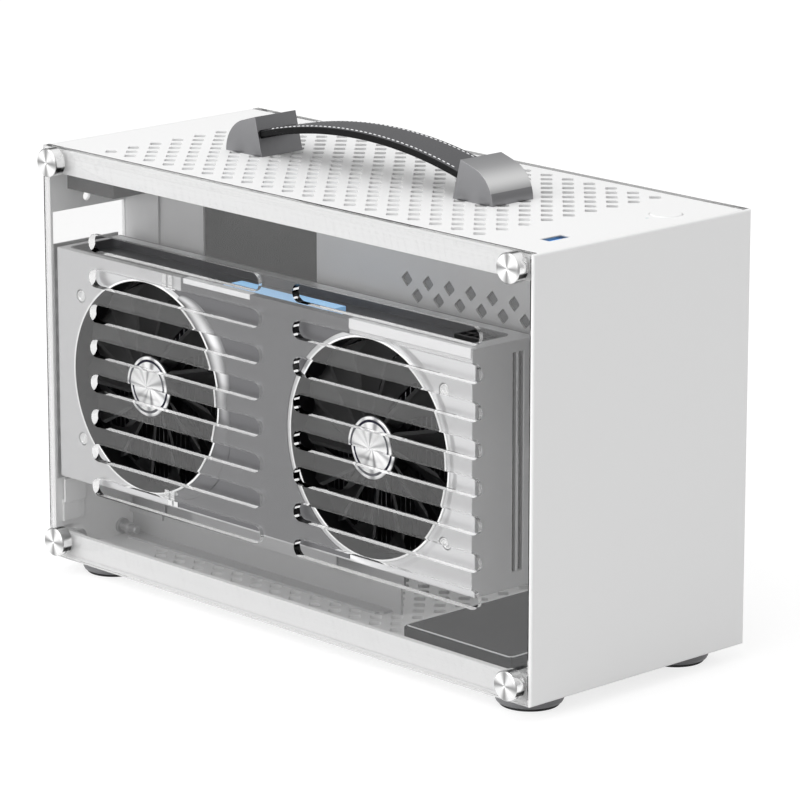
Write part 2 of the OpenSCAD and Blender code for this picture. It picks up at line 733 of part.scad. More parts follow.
// Graphics card
module card_outline(inset) translate([card_y0 + inset, card_z0 + inset])
    square([card_l - 2 * inset, card_h - 2 * inset]);
module fan_circles(r) for (y = fan_ys) translate([y, fan_axis_z]) circle(r, $fn = 96);
module screw_spots() for (y = screw_ring_y, z = screw_ring_z) translate([y, z]) children();
module tray_plan(grow) translate([(tray_x0 + tray_x1) / 2, (tray_y0 + tray_y1) / 2])
    rounded_rect(tray_x1 - tray_x0 + 2 * grow, tray_y1 - tray_y0 + 2 * grow, tray_corner + grow);
groove_x = [card_back - 14.9, card_back - 11.1];
groove_w = [2.5, 3.1];
groove_z = [card_z0 + 7.5, card_z1 - 5.5];
ring_depth = 9;
tab_play = 3;
module card_shroud() {
    end_x = card_back - backplate_t;
    wall = card_wall;
    color("silver") difference() {
        union() {
            difference() {
                from_side(card_x, end_x) card_outline(0);
                from_side(card_x + wall, card_back) card_outline(wall);
            }
            from_side(card_x, base_x0) intersection() {
                fan_circles(fan_r + duct_wall);
                card_outline(wall / 2);
            }
            from_side(card_x - lip_h, card_x + small) difference() {
                fan_circles(fan_r + lip_w);
                fan_circles(fan_r);
            }
            from_side(card_x, card_x + ring_depth) screw_spots() circle(card_screw_head_r + 1);
        }
        from_side(card_x - 1, base_x0 + small) fan_circles(fan_r);
        from_side(card_x - 1, card_x + ring_depth + 1) screw_spots() circle(card_screw_r + close_play);
        from_side(card_x - 1, card_x + card_screw_head_t) screw_spots()
            circle(card_screw_head_r + 2 * screw_play);
        translate([0, 0, card_z1 - wall - 1]) linear_extrude(wall + 2) tray_plan(0);
        for (i = [0, 1]) box_at(groove_x[i], groove_x[i] + groove_w[i], card_y0 - 1, card_y0 + wall + 1,
            groove_z[0], groove_z[1]);
        box_at(pcb_x - 1, card_back, tab_y0 - tab_play, tab_y0 + tab_l + tab_play,
            card_z0 - 1, card_z0 + wall + 1);
        box_at(card_x + rear_frame / 2, card_back, card_y1 - wall - 1, card_y1 + 1,
            card_z0 + rear_frame, card_z1 - rear_frame);
    }
}
// Dark plate between the two fans, lying on the housing's face
plate_y = [fan_ys[1] + 14, fan_ys[0] - 18.9];
plate_t = 0.4;
plate_low = 1;
plate_top_gap = 7;
plate_ring_gap = 2;
module card_centre_plate() {
    color("dimgray") from_side(card_x - plate_t, card_x) difference() {
        translate([plate_y[0], card_z0 + plate_low])
            square([plate_y[1] - plate_y[0], card_h - plate_low - plate_top_gap]);
        fan_circles(fan_r + lip_w + plate_ring_gap);
    }
}
plug = [13.6, 19.6, 11];
plug_play = [0.3, 0.2];
plug_x0 = tray_x1 - plug[0] - 2.7;
plug_y0 = tray_y0 + 3.2;
module card_top_tray() {
    color("dimgray") difference() {
        translate([0, 0, tray_floor]) linear_extrude(tray_depth) tray_plan(-tray_fit);
        translate([0, 0, tray_floor + tray_wall]) linear_extrude(tray_depth)
            tray_plan(-tray_fit - tray_wall);
        translate([plug_x0 - plug_play[1], plug_y0 - plug_play[1], tray_floor - 1])
            cube([plug[0] + 2 * plug_play[1], plug[1] + 2 * plug_play[1], tray_depth]);
    }
}
light_w = 10;
light_clear = [34, 50];
light_y = [fan_ys[1] + light_clear[0], fan_ys[0] - light_clear[1]];
module card_light_bar() {
    color("cyan") box_at(tray_x0 + 3, tray_x0 + 3 + light_w, light_y[0], light_y[1],
        tray_floor + tray_wall, card_z1 - duct_gap);
}
module card_screws() {
    t = card_screw_head_t;
    color("silver") from_side(card_x + 0.2, card_x + t) screw_spots() circle(card_screw_head_r);
    color("silver") from_side(card_x + t - small, card_x + ring_depth - 0.5) screw_spots()
        circle(card_screw_r);
}

// Fan rotor: a hub cup and cambered blades, each cut from a tilted arc section by a swept outline
blade_tilt = 33;
blade_camber_r = 26;
blade_t = 1.3;
blade_span = 0.8 * 360 / blade_count;
blade_sweep = 20;
function blade_edge(lead) = [for (i = [0 : 5]) let (s = i / 5, r = hub_r - 1 + s * (blade_r - hub_r + 1),
    a = 90 + blade_sweep * (s * s - 0.5) + lead * blade_span / 2) [r * cos(a), r * sin(a)]];
function reversed(v) = [for (i = [len(v) - 1 : -1 : 0]) v[i]];
module fan_blade() {
    intersection() {
        linear_extrude(rotor_t - 0.6) polygon(concat(blade_edge(-1), reversed(blade_edge(1))));
        translate([0, 0, rotor_t / 2]) rotate([-90, 0, 0]) linear_extrude(blade_r + 2) rotate(blade_tilt)
            translate([0, blade_camber_r]) difference() {
                circle(blade_camber_r + blade_t / 2, $fn = 96);
                circle(blade_camber_r - blade_t / 2, $fn = 96);
                translate([-2 * blade_camber_r, -blade_camber_r * 0.45]) square(4 * blade_camber_r);
            }
    }
}
module fan_rotor(y) {
    color("#202022") translate([rotor_x0, y, fan_axis_z]) rotate([0, 90, 0]) difference() {
        union() {
            cylinder(h = rotor_t, r = hub_r);
            for (i = [0 : blade_count - 1]) rotate(i * 360 / blade_count) fan_blade();
        }
        translate([0, 0, 2]) cylinder(h = rotor_t, r = fan_shaft_d / 2 + fan_fit);
    }
}
cap_chamfer = 0.3;
module fan_cap(y) {
    r = hub_r - 0.5;
    color("silver") translate([rotor_x0, y, fan_axis_z]) rotate([0, -90, 0]) rotate_extrude()
        polygon([[0, 0], [r, 0], [r, cap_t - cap_chamfer], [r - cap_chamfer, cap_t], [0, cap_t]]);
}
shaft_l = rotor_t - 1.6;
module card_fan_bases() {
    color("#303032") for (y = fan_ys) translate([base_x0, y, fan_axis_z]) rotate([0, 90, 0]) union() {
        difference() {
            cylinder(h = base_t, r = fan_r + duct_wall, $fn = 96);
            translate([0, 0, -small]) cylinder(h = base_t + 1, r = fan_r - base_rim, $fn = 96);
        }
        cylinder(h = base_t, r = hub_r);
        for (a = [45 : 90 : 315]) rotate(a) translate([hub_r - 2, -strut_w / 2, 0])
            cube([fan_r - hub_r + 2 - base_rim / 2, strut_w, base_t]);
        translate([0, 0, 1 - shaft_l]) cylinder(h = shaft_l, r = fan_shaft_d / 2);
    }
}
fin_t = 0.6;
fin_pitch = 3.2;
fin_base_t = 1.5;
fins_y0 = card_y0 + 34;
fins_spare = 50;
fin_gap = 4;
heatsink_x = [base_x0 + base_t + 0.3, pcb_x - 2.5];
core_half = 22;
module card_heatsink() {
    fin_count = floor((card_l - fins_spare) / fin_pitch);
    z0 = card_z0 + card_wall + fin_gap;
    z1 = tray_floor - fin_gap;
    root_x = heatsink_x[1] - fin_base_t;
    core_y = (fan_ys[0] + fan_ys[1]) / 2;
    color("gray") union() {
        box_at(root_x, heatsink_x[1], fins_y0, fins_y0 + fin_count * fin_pitch, z0, z1);
        for (i = [0 : fin_count - 1]) translate([0, fins_y0 + i * fin_pitch, 0])
            box_at(heatsink_x[0], root_x + small, 0, fin_t, z0, z1);
        box_at(heatsink_x[1] - small, pcb_x, core_y - core_half, core_y + core_half,
            fan_axis_z - core_half, fan_axis_z + core_half);
    }
}
module card_board() {
    inset = card_wall + 0.4;
    color("darkslategray") from_side(pcb_x, pcb_x + pcb_t) union() {
        card_outline(inset);
        translate([tab_y0, card_z0 - tab_drop]) square([tab_l, tab_drop + inset + 1]);
    }
}
module card_backplate() {
    color("dimgray") from_side(card_back - backplate_t, card_back) card_outline(0);
}
bracket_over = 1;
bracket_under = 2;
vent_from_end = 16;
vent_slot = [6, 17];
vent_slots = 4;
port_slot = [13, 4.4];
port_slots = 10;
ear_x = [card_x + 8, card_x + 20];
ear_l = 5;
module card_bracket() {
    x1 = card_back + 0.4;
    x0 = x1 - bracket_w;
    z0 = card_z0 + rear_frame;
    step = (card_h - 2 * rear_frame + 5.5) / vent_slots;
    port_step = (card_h - 2 * rear_frame + 3.5) / port_slots;
    color("silver") union() {
        from_front(rear_in - bracket_t, rear_in) difference() {
            translate([x0, card_z0 - bracket_under])
                square([bracket_w, card_h + bracket_under + bracket_over]);
            for (i = [0 : vent_slots - 1]) translate([x1 - vent_from_end, z0 + i * step]) square(vent_slot);
            for (i = [0 : port_slots - 1]) translate([x0 + 5, z0 + i * port_step]) square(port_slot);
        }
        box_at(pocket_x[0] + bracket_under, pocket_x[1] - bracket_under, rear_in - bracket_t, rear_in,
            pocket_z[1] + 0.4, card_z0);
        for (z = [z0, card_z1 - rear_frame - bracket_t]) box_at(ear_x[0], ear_x[1],
            card_y1 - ear_l, rear_in - bracket_t + small, z, z + bracket_t);
    }
}
pin_hole = [5.2, 4];
pin_pitch = [5.8, 4.6];
pins_z = tray_floor - 6;
module card_power_socket() {
    color("black") difference() {
        translate([plug_x0, plug_y0, card_z1 - 1 - plug[2] - tray_depth]) cube(plug + [0, 0, tray_depth]);
        for (i = [0 : 3], j = [0, 1])
            translate([plug_x0 + 1.3 + j * pin_pitch[0], plug_y0 + 0.9 + i * pin_pitch[1], pins_z])
                cube([pin_hole[0], pin_hole[1], card_z1 - pins_z]);
    }
}

// Riser that holds the card's edge connector
riser_x = pcb_mid - slot_w / 2;
riser_tongue_h = 16;
slot_play = [0.1, 0.3];
slot_depth = 8;
module riser_bracket() {
    shelf_z = slot_bottom - pcb_t;
    color("gainsboro") from_front(riser_y0, riser_y0 + riser_l) union() {
        translate([riser_x, slot_bottom - riser_lip]) square([riser_t, riser_lip]);
        translate([riser_x, shelf_z - riser_t]) square([divider_l - riser_x, riser_t]);
        translate([divider_l - riser_t, shelf_z - riser_t])
            square([riser_t, pcb_t + riser_t + riser_tongue_h]);
    }
}
module riser_slot() {
    slot_y0 = tab_y0 - (slot_body_l - tab_l) / 2;
    color("#181818") union() {
        difference() {
            box_at(riser_x, riser_x + slot_w, slot_y0, slot_y0 + slot_body_l, slot_bottom, slot_top);
            box_at(pcb_x - slot_play[0], pcb_x + pcb_t + slot_play[0], tab_y0 - slot_play[1],
                tab_y0 + tab_l + slot_play[1], slot_top - slot_depth, slot_top + 1);
        }
        box_at(riser_x + riser_t, divider_l - riser_t, riser_y0 + 2, riser_y0 + riser_l - 2,
            slot_bottom - pcb_t, slot_bottom + small);
    }
}

// Drive, mains inlet, main board and power supply
drive_edge = 0.9;
drive_hole_r = 1.5;
drive_plug = [6, 33.6, 4.6];
module chamfered(w, t, c) polygon([[-w / 2, 0], [w / 2, 0], [w / 2, t - c], [w / 2 - c, t], [-w / 2 + c, t],
    [-w / 2, t - c]]);
module solid_state_drive() {
    x0 = -side_x + drive_x;
    y0 = front_y + drive_y;
    color("#4a4c50") difference() {
        intersection() {
            translate([x0 + drive_l / 2, 0, floor_z]) from_front(y0, y0 + drive_w)
                chamfered(drive_l, drive_t, drive_edge);
            translate([0, y0 + drive_w / 2, floor_z]) from_side(x0, x0 + drive_l)
                chamfered(drive_w, drive_t, drive_edge);
        }
        translate([x0 + drive_l - drive_plug[0], y0 + 10, floor_z - 1]) cube(drive_plug + [1, 0, 1]);
        for (p = drive_holes_at) rod_z(floor_z - 1, floor_z + 2 * drive_hole_r, p[0], p[1], drive_hole_r);
    }
}
socket_depth = 15;
socket_wall = 1.2;
nose_play = 0.1;
module power_inlet() {
    color("#141414") difference() {
        union() {
            box_at(inlet_x0, inlet_x0 + inlet_w, rear_in - inlet_l, rear_in, inlet_z0, inlet_z0 + inlet_h);
            from_front(rear_in - small, rear_y) translate(inlet_mid)
                rounded_rect(nose_w - 2 * nose_play, nose_h - 2 * nose_play, nose_corner);
        }
        from_front(rear_y - socket_depth, rear_y + 1) translate(inlet_mid)
            rounded_rect(nose_w - 2 * socket_wall, nose_h - 2 * socket_wall, nose_corner - 1);
    }
}
pin = [2, 11, 4];
pin_step = [7, -3.6];
pin_top = 2;
module inlet_pins() {
    color("gold") for (i = [-1, 0, 1])
        translate([inlet_mid[0] + i * pin_step[0] - pin[0] / 2, rear_y - socket_depth,
            inlet_mid[1] + pin_top + abs(i) * pin_step[1] - pin[2] / 2])
            cube(pin);
}
module motherboard() {
    color("#16181a") difference() {
        box_at(board_x, board_face, board_y, board_y + board_side, board_z, board_z + board_side);
        for (p = board_holes)
            rod_x(board_x - 1, board_face + 1, board_y + p[0], board_z + p[1], board_hole_r);
    }
}
// Parts on the main board, each placed by its corner and sized as (out, along, up)
cpu_at = [48, 84];
cpu_size = [5.5, 52, 58];
cpu_frame = [7, 9];
cpu_sunk = 2.1;
cpu_lever = [0.9, 2.4];
module on_board(p) translate([board_face, board_y + p[0], board_z + p[1]]) children();
module cpu_socket() {
    color("silver") on_board(cpu_at) difference() {
        cube(cpu_size);
        translate([cpu_size[0] - cpu_sunk, cpu_frame[0], cpu_frame[1]])
            cube([cpu_size[0], cpu_size[1] - 2 * cpu_frame[0], cpu_size[2] - 2 * cpu_frame[1]]);
        translate([cpu_size[0] - cpu_lever[0], -1, cpu_frame[1] / 2])
            cube([cpu_size[0], cpu_lever[1] + 1, cpu_size[2]]);
    }
}
memory_at = [9, 18];
memory_size = [8.5, 6.6, 133];
memory_pitch = 9.6;
memory_slit = [5.5, 1.8, 6];
module memory_slots() {
    color("#202020") for (i = [0, 1]) on_board(memory_at + [i * memory_pitch, 0]) difference() {
        cube(memory_size);
        translate([memory_size[0] - memory_slit[0], (memory_size[1] - memory_slit[1]) / 2, memory_slit[2]])
            cube([memory_size[0], memory_slit[1], memory_size[2] - 2 * memory_slit[2]]);
    }
}
ports = [27, 30, 120.75];
ports_z = port_z + 8;
usb_hole = [6, 13.4];
usb_step = [9, 22];
lan_hole = [12, 13];
lan_up = 82;
lan_z = port_z + lan_up;
jack_r = 2.2;
jack_step = 8;
jack_up = 112;
jack_z = port_z + jack_up;
hole_depth = 10;
module io_port_block() {
    y1 = rear_y - 0.4;
    x0 = board_face + 3;
    color("#303236") difference() {
        box_at(board_face, board_face + ports[0], y1 - ports[1], y1, ports_z, ports_z + ports[2]);
        from_front(y1 - hole_depth, y1 + 1) {
            for (row = [0 : 2], column = [0, 1])
                translate([x0 + column * usb_step[0], ports_z + 8 + row * usb_step[1]]) square(usb_hole);
            translate([x0 + 2, lan_z]) square(lan_hole);
            for (i = [0 : 2]) translate([x0 + 1.5 + i * jack_step, jack_z]) circle(jack_r);
        }
    }
}
grille_step = 6.6;
grille_r = 2.6;
grille_rows = 6;
grille_from_rear = 60;
grille_depth = 3;
supply_x1 = divider_r + supply_w;
module power_supply() {
    color("#26272a") difference() {
        box_at(divider_r, supply_x1, supply_front, supply_rear, supply_top - supply_h, supply_top);
        from_side(supply_x1 - grille_depth, supply_x1 + 1)
            translate([supply_rear - grille_from_rear, supply_top - supply_h / 2])
                for (i = [-grille_rows : grille_rows], j = [-grille_rows : grille_rows])
                    if (norm([i, j]) < grille_rows + 0.3)
                        translate(grille_step * [i, j]) circle(grille_r, $fn = 6);
    }
}

front_panel();
rear_panel();

top_panel();
bottom_panel();
corner_lugs();
rail(-1, ceil_z - rail_h, screw_z_top);  // rail_top_left
rail(1, ceil_z - rail_h, screw_z_top);  // rail_top_right
rail(-1, floor_z, screw_z_bottom);  // rail_bottom_left
rail(1, floor_z, screw_z_bottom);  // rail_bottom_right
window_bushes();
window(-1);  // window_left
window(1);  // window_right
thumb_screw(-1, screw_ys[0], screw_z_top);  // thumb_screw_left_top_front
thumb_screw(-1, screw_ys[1], screw_z_top);  // thumb_screw_left_top_rear
thumb_screw(-1, screw_ys[0], screw_z_bottom);  // thumb_screw_left_bottom_front
thumb_screw(-1, screw_ys[1], screw_z_bottom);  // thumb_screw_left_bottom_rear
thumb_screw(1, screw_ys[0], screw_z_top);  // thumb_screw_right_top_front
thumb_screw(1, screw_ys[1], screw_z_top);  // thumb_screw_right_top_rear
thumb_screw(1, screw_ys[0], screw_z_bottom);  // thumb_screw_right_bottom_front
thumb_screw(1, screw_ys[1], screw_z_bottom);  // thumb_screw_right_bottom_rear
centre_divider();
divider_rear_angle();
rear_wall_post();
feet();
foot_pads();
foot_screws();
handle_block(0);  // handle_block_front
handle_block(1);  // handle_block_rear
handle_strap();
handle_screws();
power_button();
power_led();
usb_socket();
usb_tongue();
io_board();
card_shroud();
card_centre_plate();
card_top_tray();
card_light_bar();
card_screws();
fan_rotor(fan_ys[0]);  // card_fan_rear
fan_rotor(fan_ys[1]);  // card_fan_front
fan_cap(fan_ys[0]);  // card_fan_cap_rear
fan_cap(fan_ys[1]);  // card_fan_cap_front
card_fan_bases();
card_heatsink();
card_board();
card_backplate();
card_bracket();
card_power_socket();
riser_bracket();
riser_slot();
solid_state_drive();
power_inlet();
inlet_pins();
motherboard();
cpu_socket();
memory_slots();
io_port_block();
power_supply();
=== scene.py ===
import bmesh
import bpy
import json
import math
import numpy as np
from mathutils import Matrix, Vector


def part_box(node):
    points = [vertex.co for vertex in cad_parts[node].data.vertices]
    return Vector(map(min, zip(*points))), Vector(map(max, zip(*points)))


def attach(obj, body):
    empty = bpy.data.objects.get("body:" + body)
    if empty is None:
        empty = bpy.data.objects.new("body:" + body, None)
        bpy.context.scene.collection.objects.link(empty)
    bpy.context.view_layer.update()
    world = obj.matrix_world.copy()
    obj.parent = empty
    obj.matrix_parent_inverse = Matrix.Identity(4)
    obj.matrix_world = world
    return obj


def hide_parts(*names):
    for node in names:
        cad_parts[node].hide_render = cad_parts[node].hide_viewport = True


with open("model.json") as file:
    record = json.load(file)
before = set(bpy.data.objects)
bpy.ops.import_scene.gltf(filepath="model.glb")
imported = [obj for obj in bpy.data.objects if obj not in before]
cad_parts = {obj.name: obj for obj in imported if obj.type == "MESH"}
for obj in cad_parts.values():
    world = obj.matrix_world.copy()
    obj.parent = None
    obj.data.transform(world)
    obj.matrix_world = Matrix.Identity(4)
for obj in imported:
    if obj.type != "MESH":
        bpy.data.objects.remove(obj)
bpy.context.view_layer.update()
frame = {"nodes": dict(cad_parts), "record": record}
nodes = frame["nodes"]
mm = 0.001
fullTurn = 2 * math.pi
print("frame loaded:", len(nodes), "nodes")


# ways to make node trees
def linearColour(hexCode):
    # sRGB hex to linear: c/12.92 below 0.04045, ((c+0.055)/1.055)^2.4 above
    parts = [int(hexCode[i:i + 2], 16) / 255 for i in (0, 2, 4)]
    return (*[c / 12.92 if c <= 0.04045 else ((c + 0.055) / 1.055) ** 2.4 for c in parts], 1.0)


def addNode(tree, kind, inputs=(), **settings):
    # kind: the type after "ShaderNode", and for a Math node its operation after a dot
    # inputs: values, sockets or nodes, by place or by name; a node stands for its first output
    kind, dot, operation = kind.partition(".")
    node = tree.nodes.new("ShaderNode" + kind)
    if dot:
        node.operation = operation
    for key, value in settings.items():
        setattr(node, key, value)
    for key, value in inputs.items() if isinstance(inputs, dict) else enumerate(inputs):
        if isinstance(value, bpy.types.Node):
            value = value.outputs[0]
        if isinstance(value, bpy.types.NodeSocket):
            tree.links.new(value, node.inputs[key])
        else:
            node.inputs[key].default_value = value
    return node


def newMaterial(name, colour, values, edge=0.0):
    # edge: radius in metres over which the normals of a corner turn, like a broken sheet edge
    material = bpy.data.materials.new(name)
    material.use_nodes = True
    tree = material.node_tree
    tree.nodes.clear()
    shader = addNode(tree, "BsdfPrincipled", {"Base Color": linearColour(colour), **values})
    addNode(tree, "OutputMaterial", {"Surface": shader})
    if edge:
        bevel = addNode(tree, "Bevel", {"Radius": edge}, samples=6)
        tree.links.new(bevel.outputs[0], shader.inputs["Normal"])
    return material, tree, shader


def objectPattern(tree, kind, values, stretch=(1, 1, 1)):
    place = addNode(tree, "TexCoord").outputs["Object"]
    stretched = addNode(tree, "Mapping", {"Vector": place, "Scale": stretch})
    return addNode(tree, kind, {"Vector": stretched, **values})


def addRelief(tree, shader, height, strength, distance):
    # relief on top of what already turns the shader's normal
    relief = addNode(tree, "Bump", {"Strength": strength, "Distance": distance, "Height": height})
    if shader.inputs["Normal"].is_linked:
        tree.links.new(shader.inputs["Normal"].links[0].from_socket, relief.inputs["Normal"])
    tree.links.new(relief.outputs[0], shader.inputs["Normal"])


def colourBetween(tree, shader, share, first, second, clamp=True):
    # base colour = first + share (second - first)
    ends = [linearColour(end) if isinstance(end, str) else end for end in (first, second)]
    mixed = addNode(tree, "Mix", {"Factor": share, "A": ends[0], "B": ends[1]},
                    data_type="RGBA", clamp_factor=clamp).outputs["Result"]
    tree.links.new(mixed, shader.inputs["Base Color"])
    return mixed


def surfaceUv(tree):
    split = addNode(tree, "SeparateXYZ", [addNode(tree, "UVMap", uv_map="surface")])
    return split.outputs["X"], split.outputs["Y"]


# ways to make meshes
def faceMesh(name, points, faces, uv=None, closed=True):
    # a closed shell has its seam and pole points merged and its faces turned outwards
    mesh = bpy.data.meshes.new(name)
    mesh.vertices.add(len(points))
    mesh.vertices.foreach_set("co", np.asarray(points, np.float32).ravel())
    mesh.loops.add(faces.size)
    mesh.loops.foreach_set("vertex_index", faces.astype(np.int32).ravel())
    mesh.polygons.add(len(faces))
    starts = np.arange(0, faces.size, faces.shape[1], dtype=np.int32)
    mesh.polygons.foreach_set("loop_start", starts)
    mesh.polygons.foreach_set("use_smooth", np.ones(len(faces), bool))
    if uv is not None:
        layer = mesh.uv_layers.new(name="surface")
        corners = np.asarray(uv, np.float32).reshape(-1, 2)[faces.ravel()]
        layer.data.foreach_set("uv", corners.ravel())
    mesh.update(calc_edges=True)
    if closed:
        shell = bmesh.new()
        shell.from_mesh(mesh)
        bmesh.ops.remove_doubles(shell, verts=shell.verts, dist=1e-6)
        bmesh.ops.recalc_face_normals(shell, faces=shell.faces)
        shell.to_mesh(mesh)
        shell.free()
    mesh.validate()
    thing = bpy.data.objects.new(name, mesh)
    bpy.context.scene.collection.objects.link(thing)
    return thing


def gridFaces(nu, nv, wrapU=False, wrapV=False):
    # one quad for each cell of a grid of nu by nv points
    a, b = np.meshgrid(np.arange(nu if wrapU else nu - 1), np.arange(nv if wrapV else nv - 1),
                       indexing="ij")
    a2, b2 = (a + 1) % nu, (b + 1) % nv
    corners = [a * nv + b, a2 * nv + b, a2 * nv + b2, a * nv + b2]
    return np.stack(corners, -1).reshape(-1, 4)


def gridMesh(name, points, wrapU=False, wrapV=False, uv=None):
    # points[i, j] = S(u_i, v_j); neighbouring samples make one quad each
    faces = gridFaces(*points.shape[:2], wrapU, wrapV)
    return faceMesh(name, points.reshape(-1, 3), faces, uv)


def finishPiece(thing, materials, body, slotName, *replaced):
    for material in materials:
        thing.data.materials.append(material)
    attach(thing, body)
    if replaced:
        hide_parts(*replaced)


def boxOf(name):
    # low and high corner of a CAD node in mm
    return [np.array(corner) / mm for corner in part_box(name)]


# materials: each is named for the real one, and its note says what it gives the eye and where light
# or shade is painted into it
# flat white with a trace of gloss on the outer plates; grain of 0.5 mm
paint, tree, shader = newMaterial("white powder coat", "EEEEEE", {"Roughness": 0.45}, edge=0.0004)
grain = objectPattern(tree, "TexNoise", {"Scale": 2000, "Detail": 2})
addRelief(tree, shader, grain.outputs["Fac"], 0.04, 0.0002)

# light grey satin of the divider and the lugs
innerSteel = newMaterial("satin grey sheet steel", "BFBFC0", {"Roughness": 0.42, "Metallic": 0.3},
                         edge=0.0003)[0]

# clear sheet whose cut slots show as bright and dark lines; light that falls through it, or is
# spread by what lies behind it, goes straight on
acrylic, tree, shader = newMaterial("clear acrylic sheet", "F0F0F0", {
    "Roughness": 0.0, "IOR": 1.49, "Transmission Weight": 1.0, "Specular IOR Level": 0.2})
rays = addNode(tree, "LightPath").outputs
straight = addNode(tree, "BsdfTransparent", {"Color": linearColour("F5F5F5")})
passing = addNode(tree, "Math.MAXIMUM", [rays["Is Shadow Ray"], rays["Is Diffuse Ray"]])
mixed = addNode(tree, "MixShader", [passing, shader, straight])
tree.links.new(mixed.outputs[0], tree.nodes["Material Output"].inputs["Surface"])

# turned faces: how far the reflection is drawn out, the darkest share of the dark colour of the
# painted reflection, and the painted black shade of a groove; then the hard bands of painted
# reflection on the polished side of a head
turnedLook = {"drawnOut": 0.85, "darkest": 1.55, "groove": 4.0}
paintedSideBands = {"start": 0.43, "slow": 3, "fast": 7, "fastWeight": 0.6, "level": 0.6, "slope": 1.5,
             "depth": 1.45}


def cosineWave(tree, place, turns, weight):
    # weight cos(2 pi turns place)
    angle = addNode(tree, "Math.MULTIPLY", [place, fullTurn * turns])
    return addNode(tree, "Math.MULTIPLY", [addNode(tree, "Math.COSINE", [angle]), weight])


def spunWithPaintedLight(name, light, dark, wedges, sharpness, roughness, ring=None, side=None):
    # painted reflection in wedges: shade = (0.5 + 0.5 sum(weight cos(2 pi turns u))) ^ sharpness,
    # with u the share of a turn
    # ring: span of v painted black as shade in a groove; side: v below which the painted reflection
    # bands stand instead
    material, tree, shader = newMaterial(name, light, {
        "Metallic": 1.0, "Roughness": roughness, "Anisotropic": turnedLook["drawnOut"]})
    tangent = addNode(tree, "Tangent", direction_type="UV_MAP", uv_map="surface")
    tree.links.new(tangent.outputs[0], shader.inputs["Tangent"])
    u, v = surfaceUv(tree)
    total = 0.0
    for turns, weight in wedges:
        total = addNode(tree, "Math.ADD", [total, cosineWave(tree, u, turns, weight)])
    half = addNode(tree, "Math.MULTIPLY", [total, 0.5])
    level = addNode(tree, "Math.ADD", [half, 0.5], use_clamp=True)
    shade = addNode(tree, "Math.POWER", [level, sharpness])
    if side:
        # painted reflection bands: soft steps where cos(6 pi w) + 0.6 cos(14 pi w) passes 0.6, with
        # w = u - 0.43
        shifted = addNode(tree, "Math.SUBTRACT", [u, paintedSideBands["start"]])
        waves = addNode(tree, "Math.ADD", [
            cosineWave(tree, shifted, paintedSideBands["slow"], 1.0),
            cosineWave(tree, shifted, paintedSideBands["fast"], paintedSideBands["fastWeight"])])
        above = addNode(tree, "Math.SUBTRACT", [waves, paintedSideBands["level"]])
        band = addNode(tree, "Math.MULTIPLY", [above, paintedSideBands["slope"]], use_clamp=True)
        bandShade = addNode(tree, "Math.MULTIPLY", [band, paintedSideBands["depth"]])
        change = addNode(tree, "Math.SUBTRACT", [bandShade, shade])
        onSide = addNode(tree, "Math.LESS_THAN", [v, side])
        shade = addNode(tree, "Math.ADD", [shade, addNode(tree, "Math.MULTIPLY", [change, onSide])])
    # painted shade: black over the groove's span of v
    if ring:
        past = addNode(tree, "Math.GREATER_THAN", [v, ring[0]])
        before = addNode(tree, "Math.LESS_THAN", [v, ring[1]])
        inside = addNode(tree, "Math.MULTIPLY", [past, before])
        black = addNode(tree, "Math.MULTIPLY", [inside, turnedLook["groove"]])
        shade = addNode(tree, "Math.ADD", [shade, black])
    shade = addNode(tree, "Math.MINIMUM", [shade, turnedLook["darkest"]])
    colourBetween(tree, shader, shade, light, dark, clamp=False)
    return material


# knob faces: near-white with four soft grey wedges of painted reflection, and dark bands of
# painted reflection round the side
spun = spunWithPaintedLight("spun aluminium with painted reflection", "F7F7F7", "9C9C9C", [(4, 1.0)], 2.2, 0.22, side=0.765)
# hub caps: bright with a dozen uneven wedges of painted reflection and a thin black ring of
# painted shade in the groove
spunHub = spunWithPaintedLight("spun hub aluminium with painted reflection and shade", "FCFCFC", "A2A2A4", [(11, 0.62), (7, 0.55)], 2.2, 0.3,
                       ring=(0.56, 0.606))
# bright trim that catches a white line
polished = newMaterial("polished aluminium", "E6E6E6", {"Metallic": 1.0, "Roughness": 0.16})[0]
# bushes, brackets and screws in a mid grey
plainSteel = newMaterial("plain bright steel", "B9B9BA", {"Metallic": 1.0, "Roughness": 0.3},
                         edge=0.0002)[0]

# mid grey handle blocks; lines 0.4 mm apart follow the profile of each block, and the rounded side
# carries a painted highlight band at half height: bright = exp(-((z - 222.5 mm) / 5 mm)^2), off
# the flat sides
paintedSheen = {"plain": "929294", "bright": "E2E2E2", "height": 0.2225, "width": 0.005,
           "sideNormal": 0.5, "flatNormal": 0.94}
brushed, tree, shader = newMaterial("brushed grey aluminium with painted sheen", paintedSheen["plain"],
                                    {"Metallic": 1.0, "Roughness": 0.32}, edge=0.0003)
place = addNode(tree, "TexCoord").outputs
height = addNode(tree, "SeparateXYZ", [place["Object"]]).outputs["Z"]
facing = addNode(tree, "SeparateXYZ", [place["Normal"]]).outputs
above = addNode(tree, "Math.SUBTRACT", [height, paintedSheen["height"]])
away = addNode(tree, "Math.DIVIDE", [above, paintedSheen["width"]])
square = addNode(tree, "Math.MULTIPLY", [away, away])
sheenShare = addNode(tree, "Math.EXPONENT", [addNode(tree, "Math.MULTIPLY", [square, -1.0])])
for direction, limit in (("X", paintedSheen["sideNormal"]), ("Y", paintedSheen["flatNormal"])):
    turnedBy = addNode(tree, "Math.ABSOLUTE", [facing[direction]])
    onRound = addNode(tree, "Math.LESS_THAN", [turnedBy, limit])
    sheenShare = addNode(tree, "Math.MULTIPLY", [sheenShare, onRound])
colourBetween(tree, shader, sheenShare, paintedSheen["plain"], paintedSheen["bright"])
lines = objectPattern(tree, "TexNoise", {"Scale": 1, "Detail": 3}, (2600, 60, 60))
addRelief(tree, shader, lines.outputs["Fac"], 0.3, 0.0002)

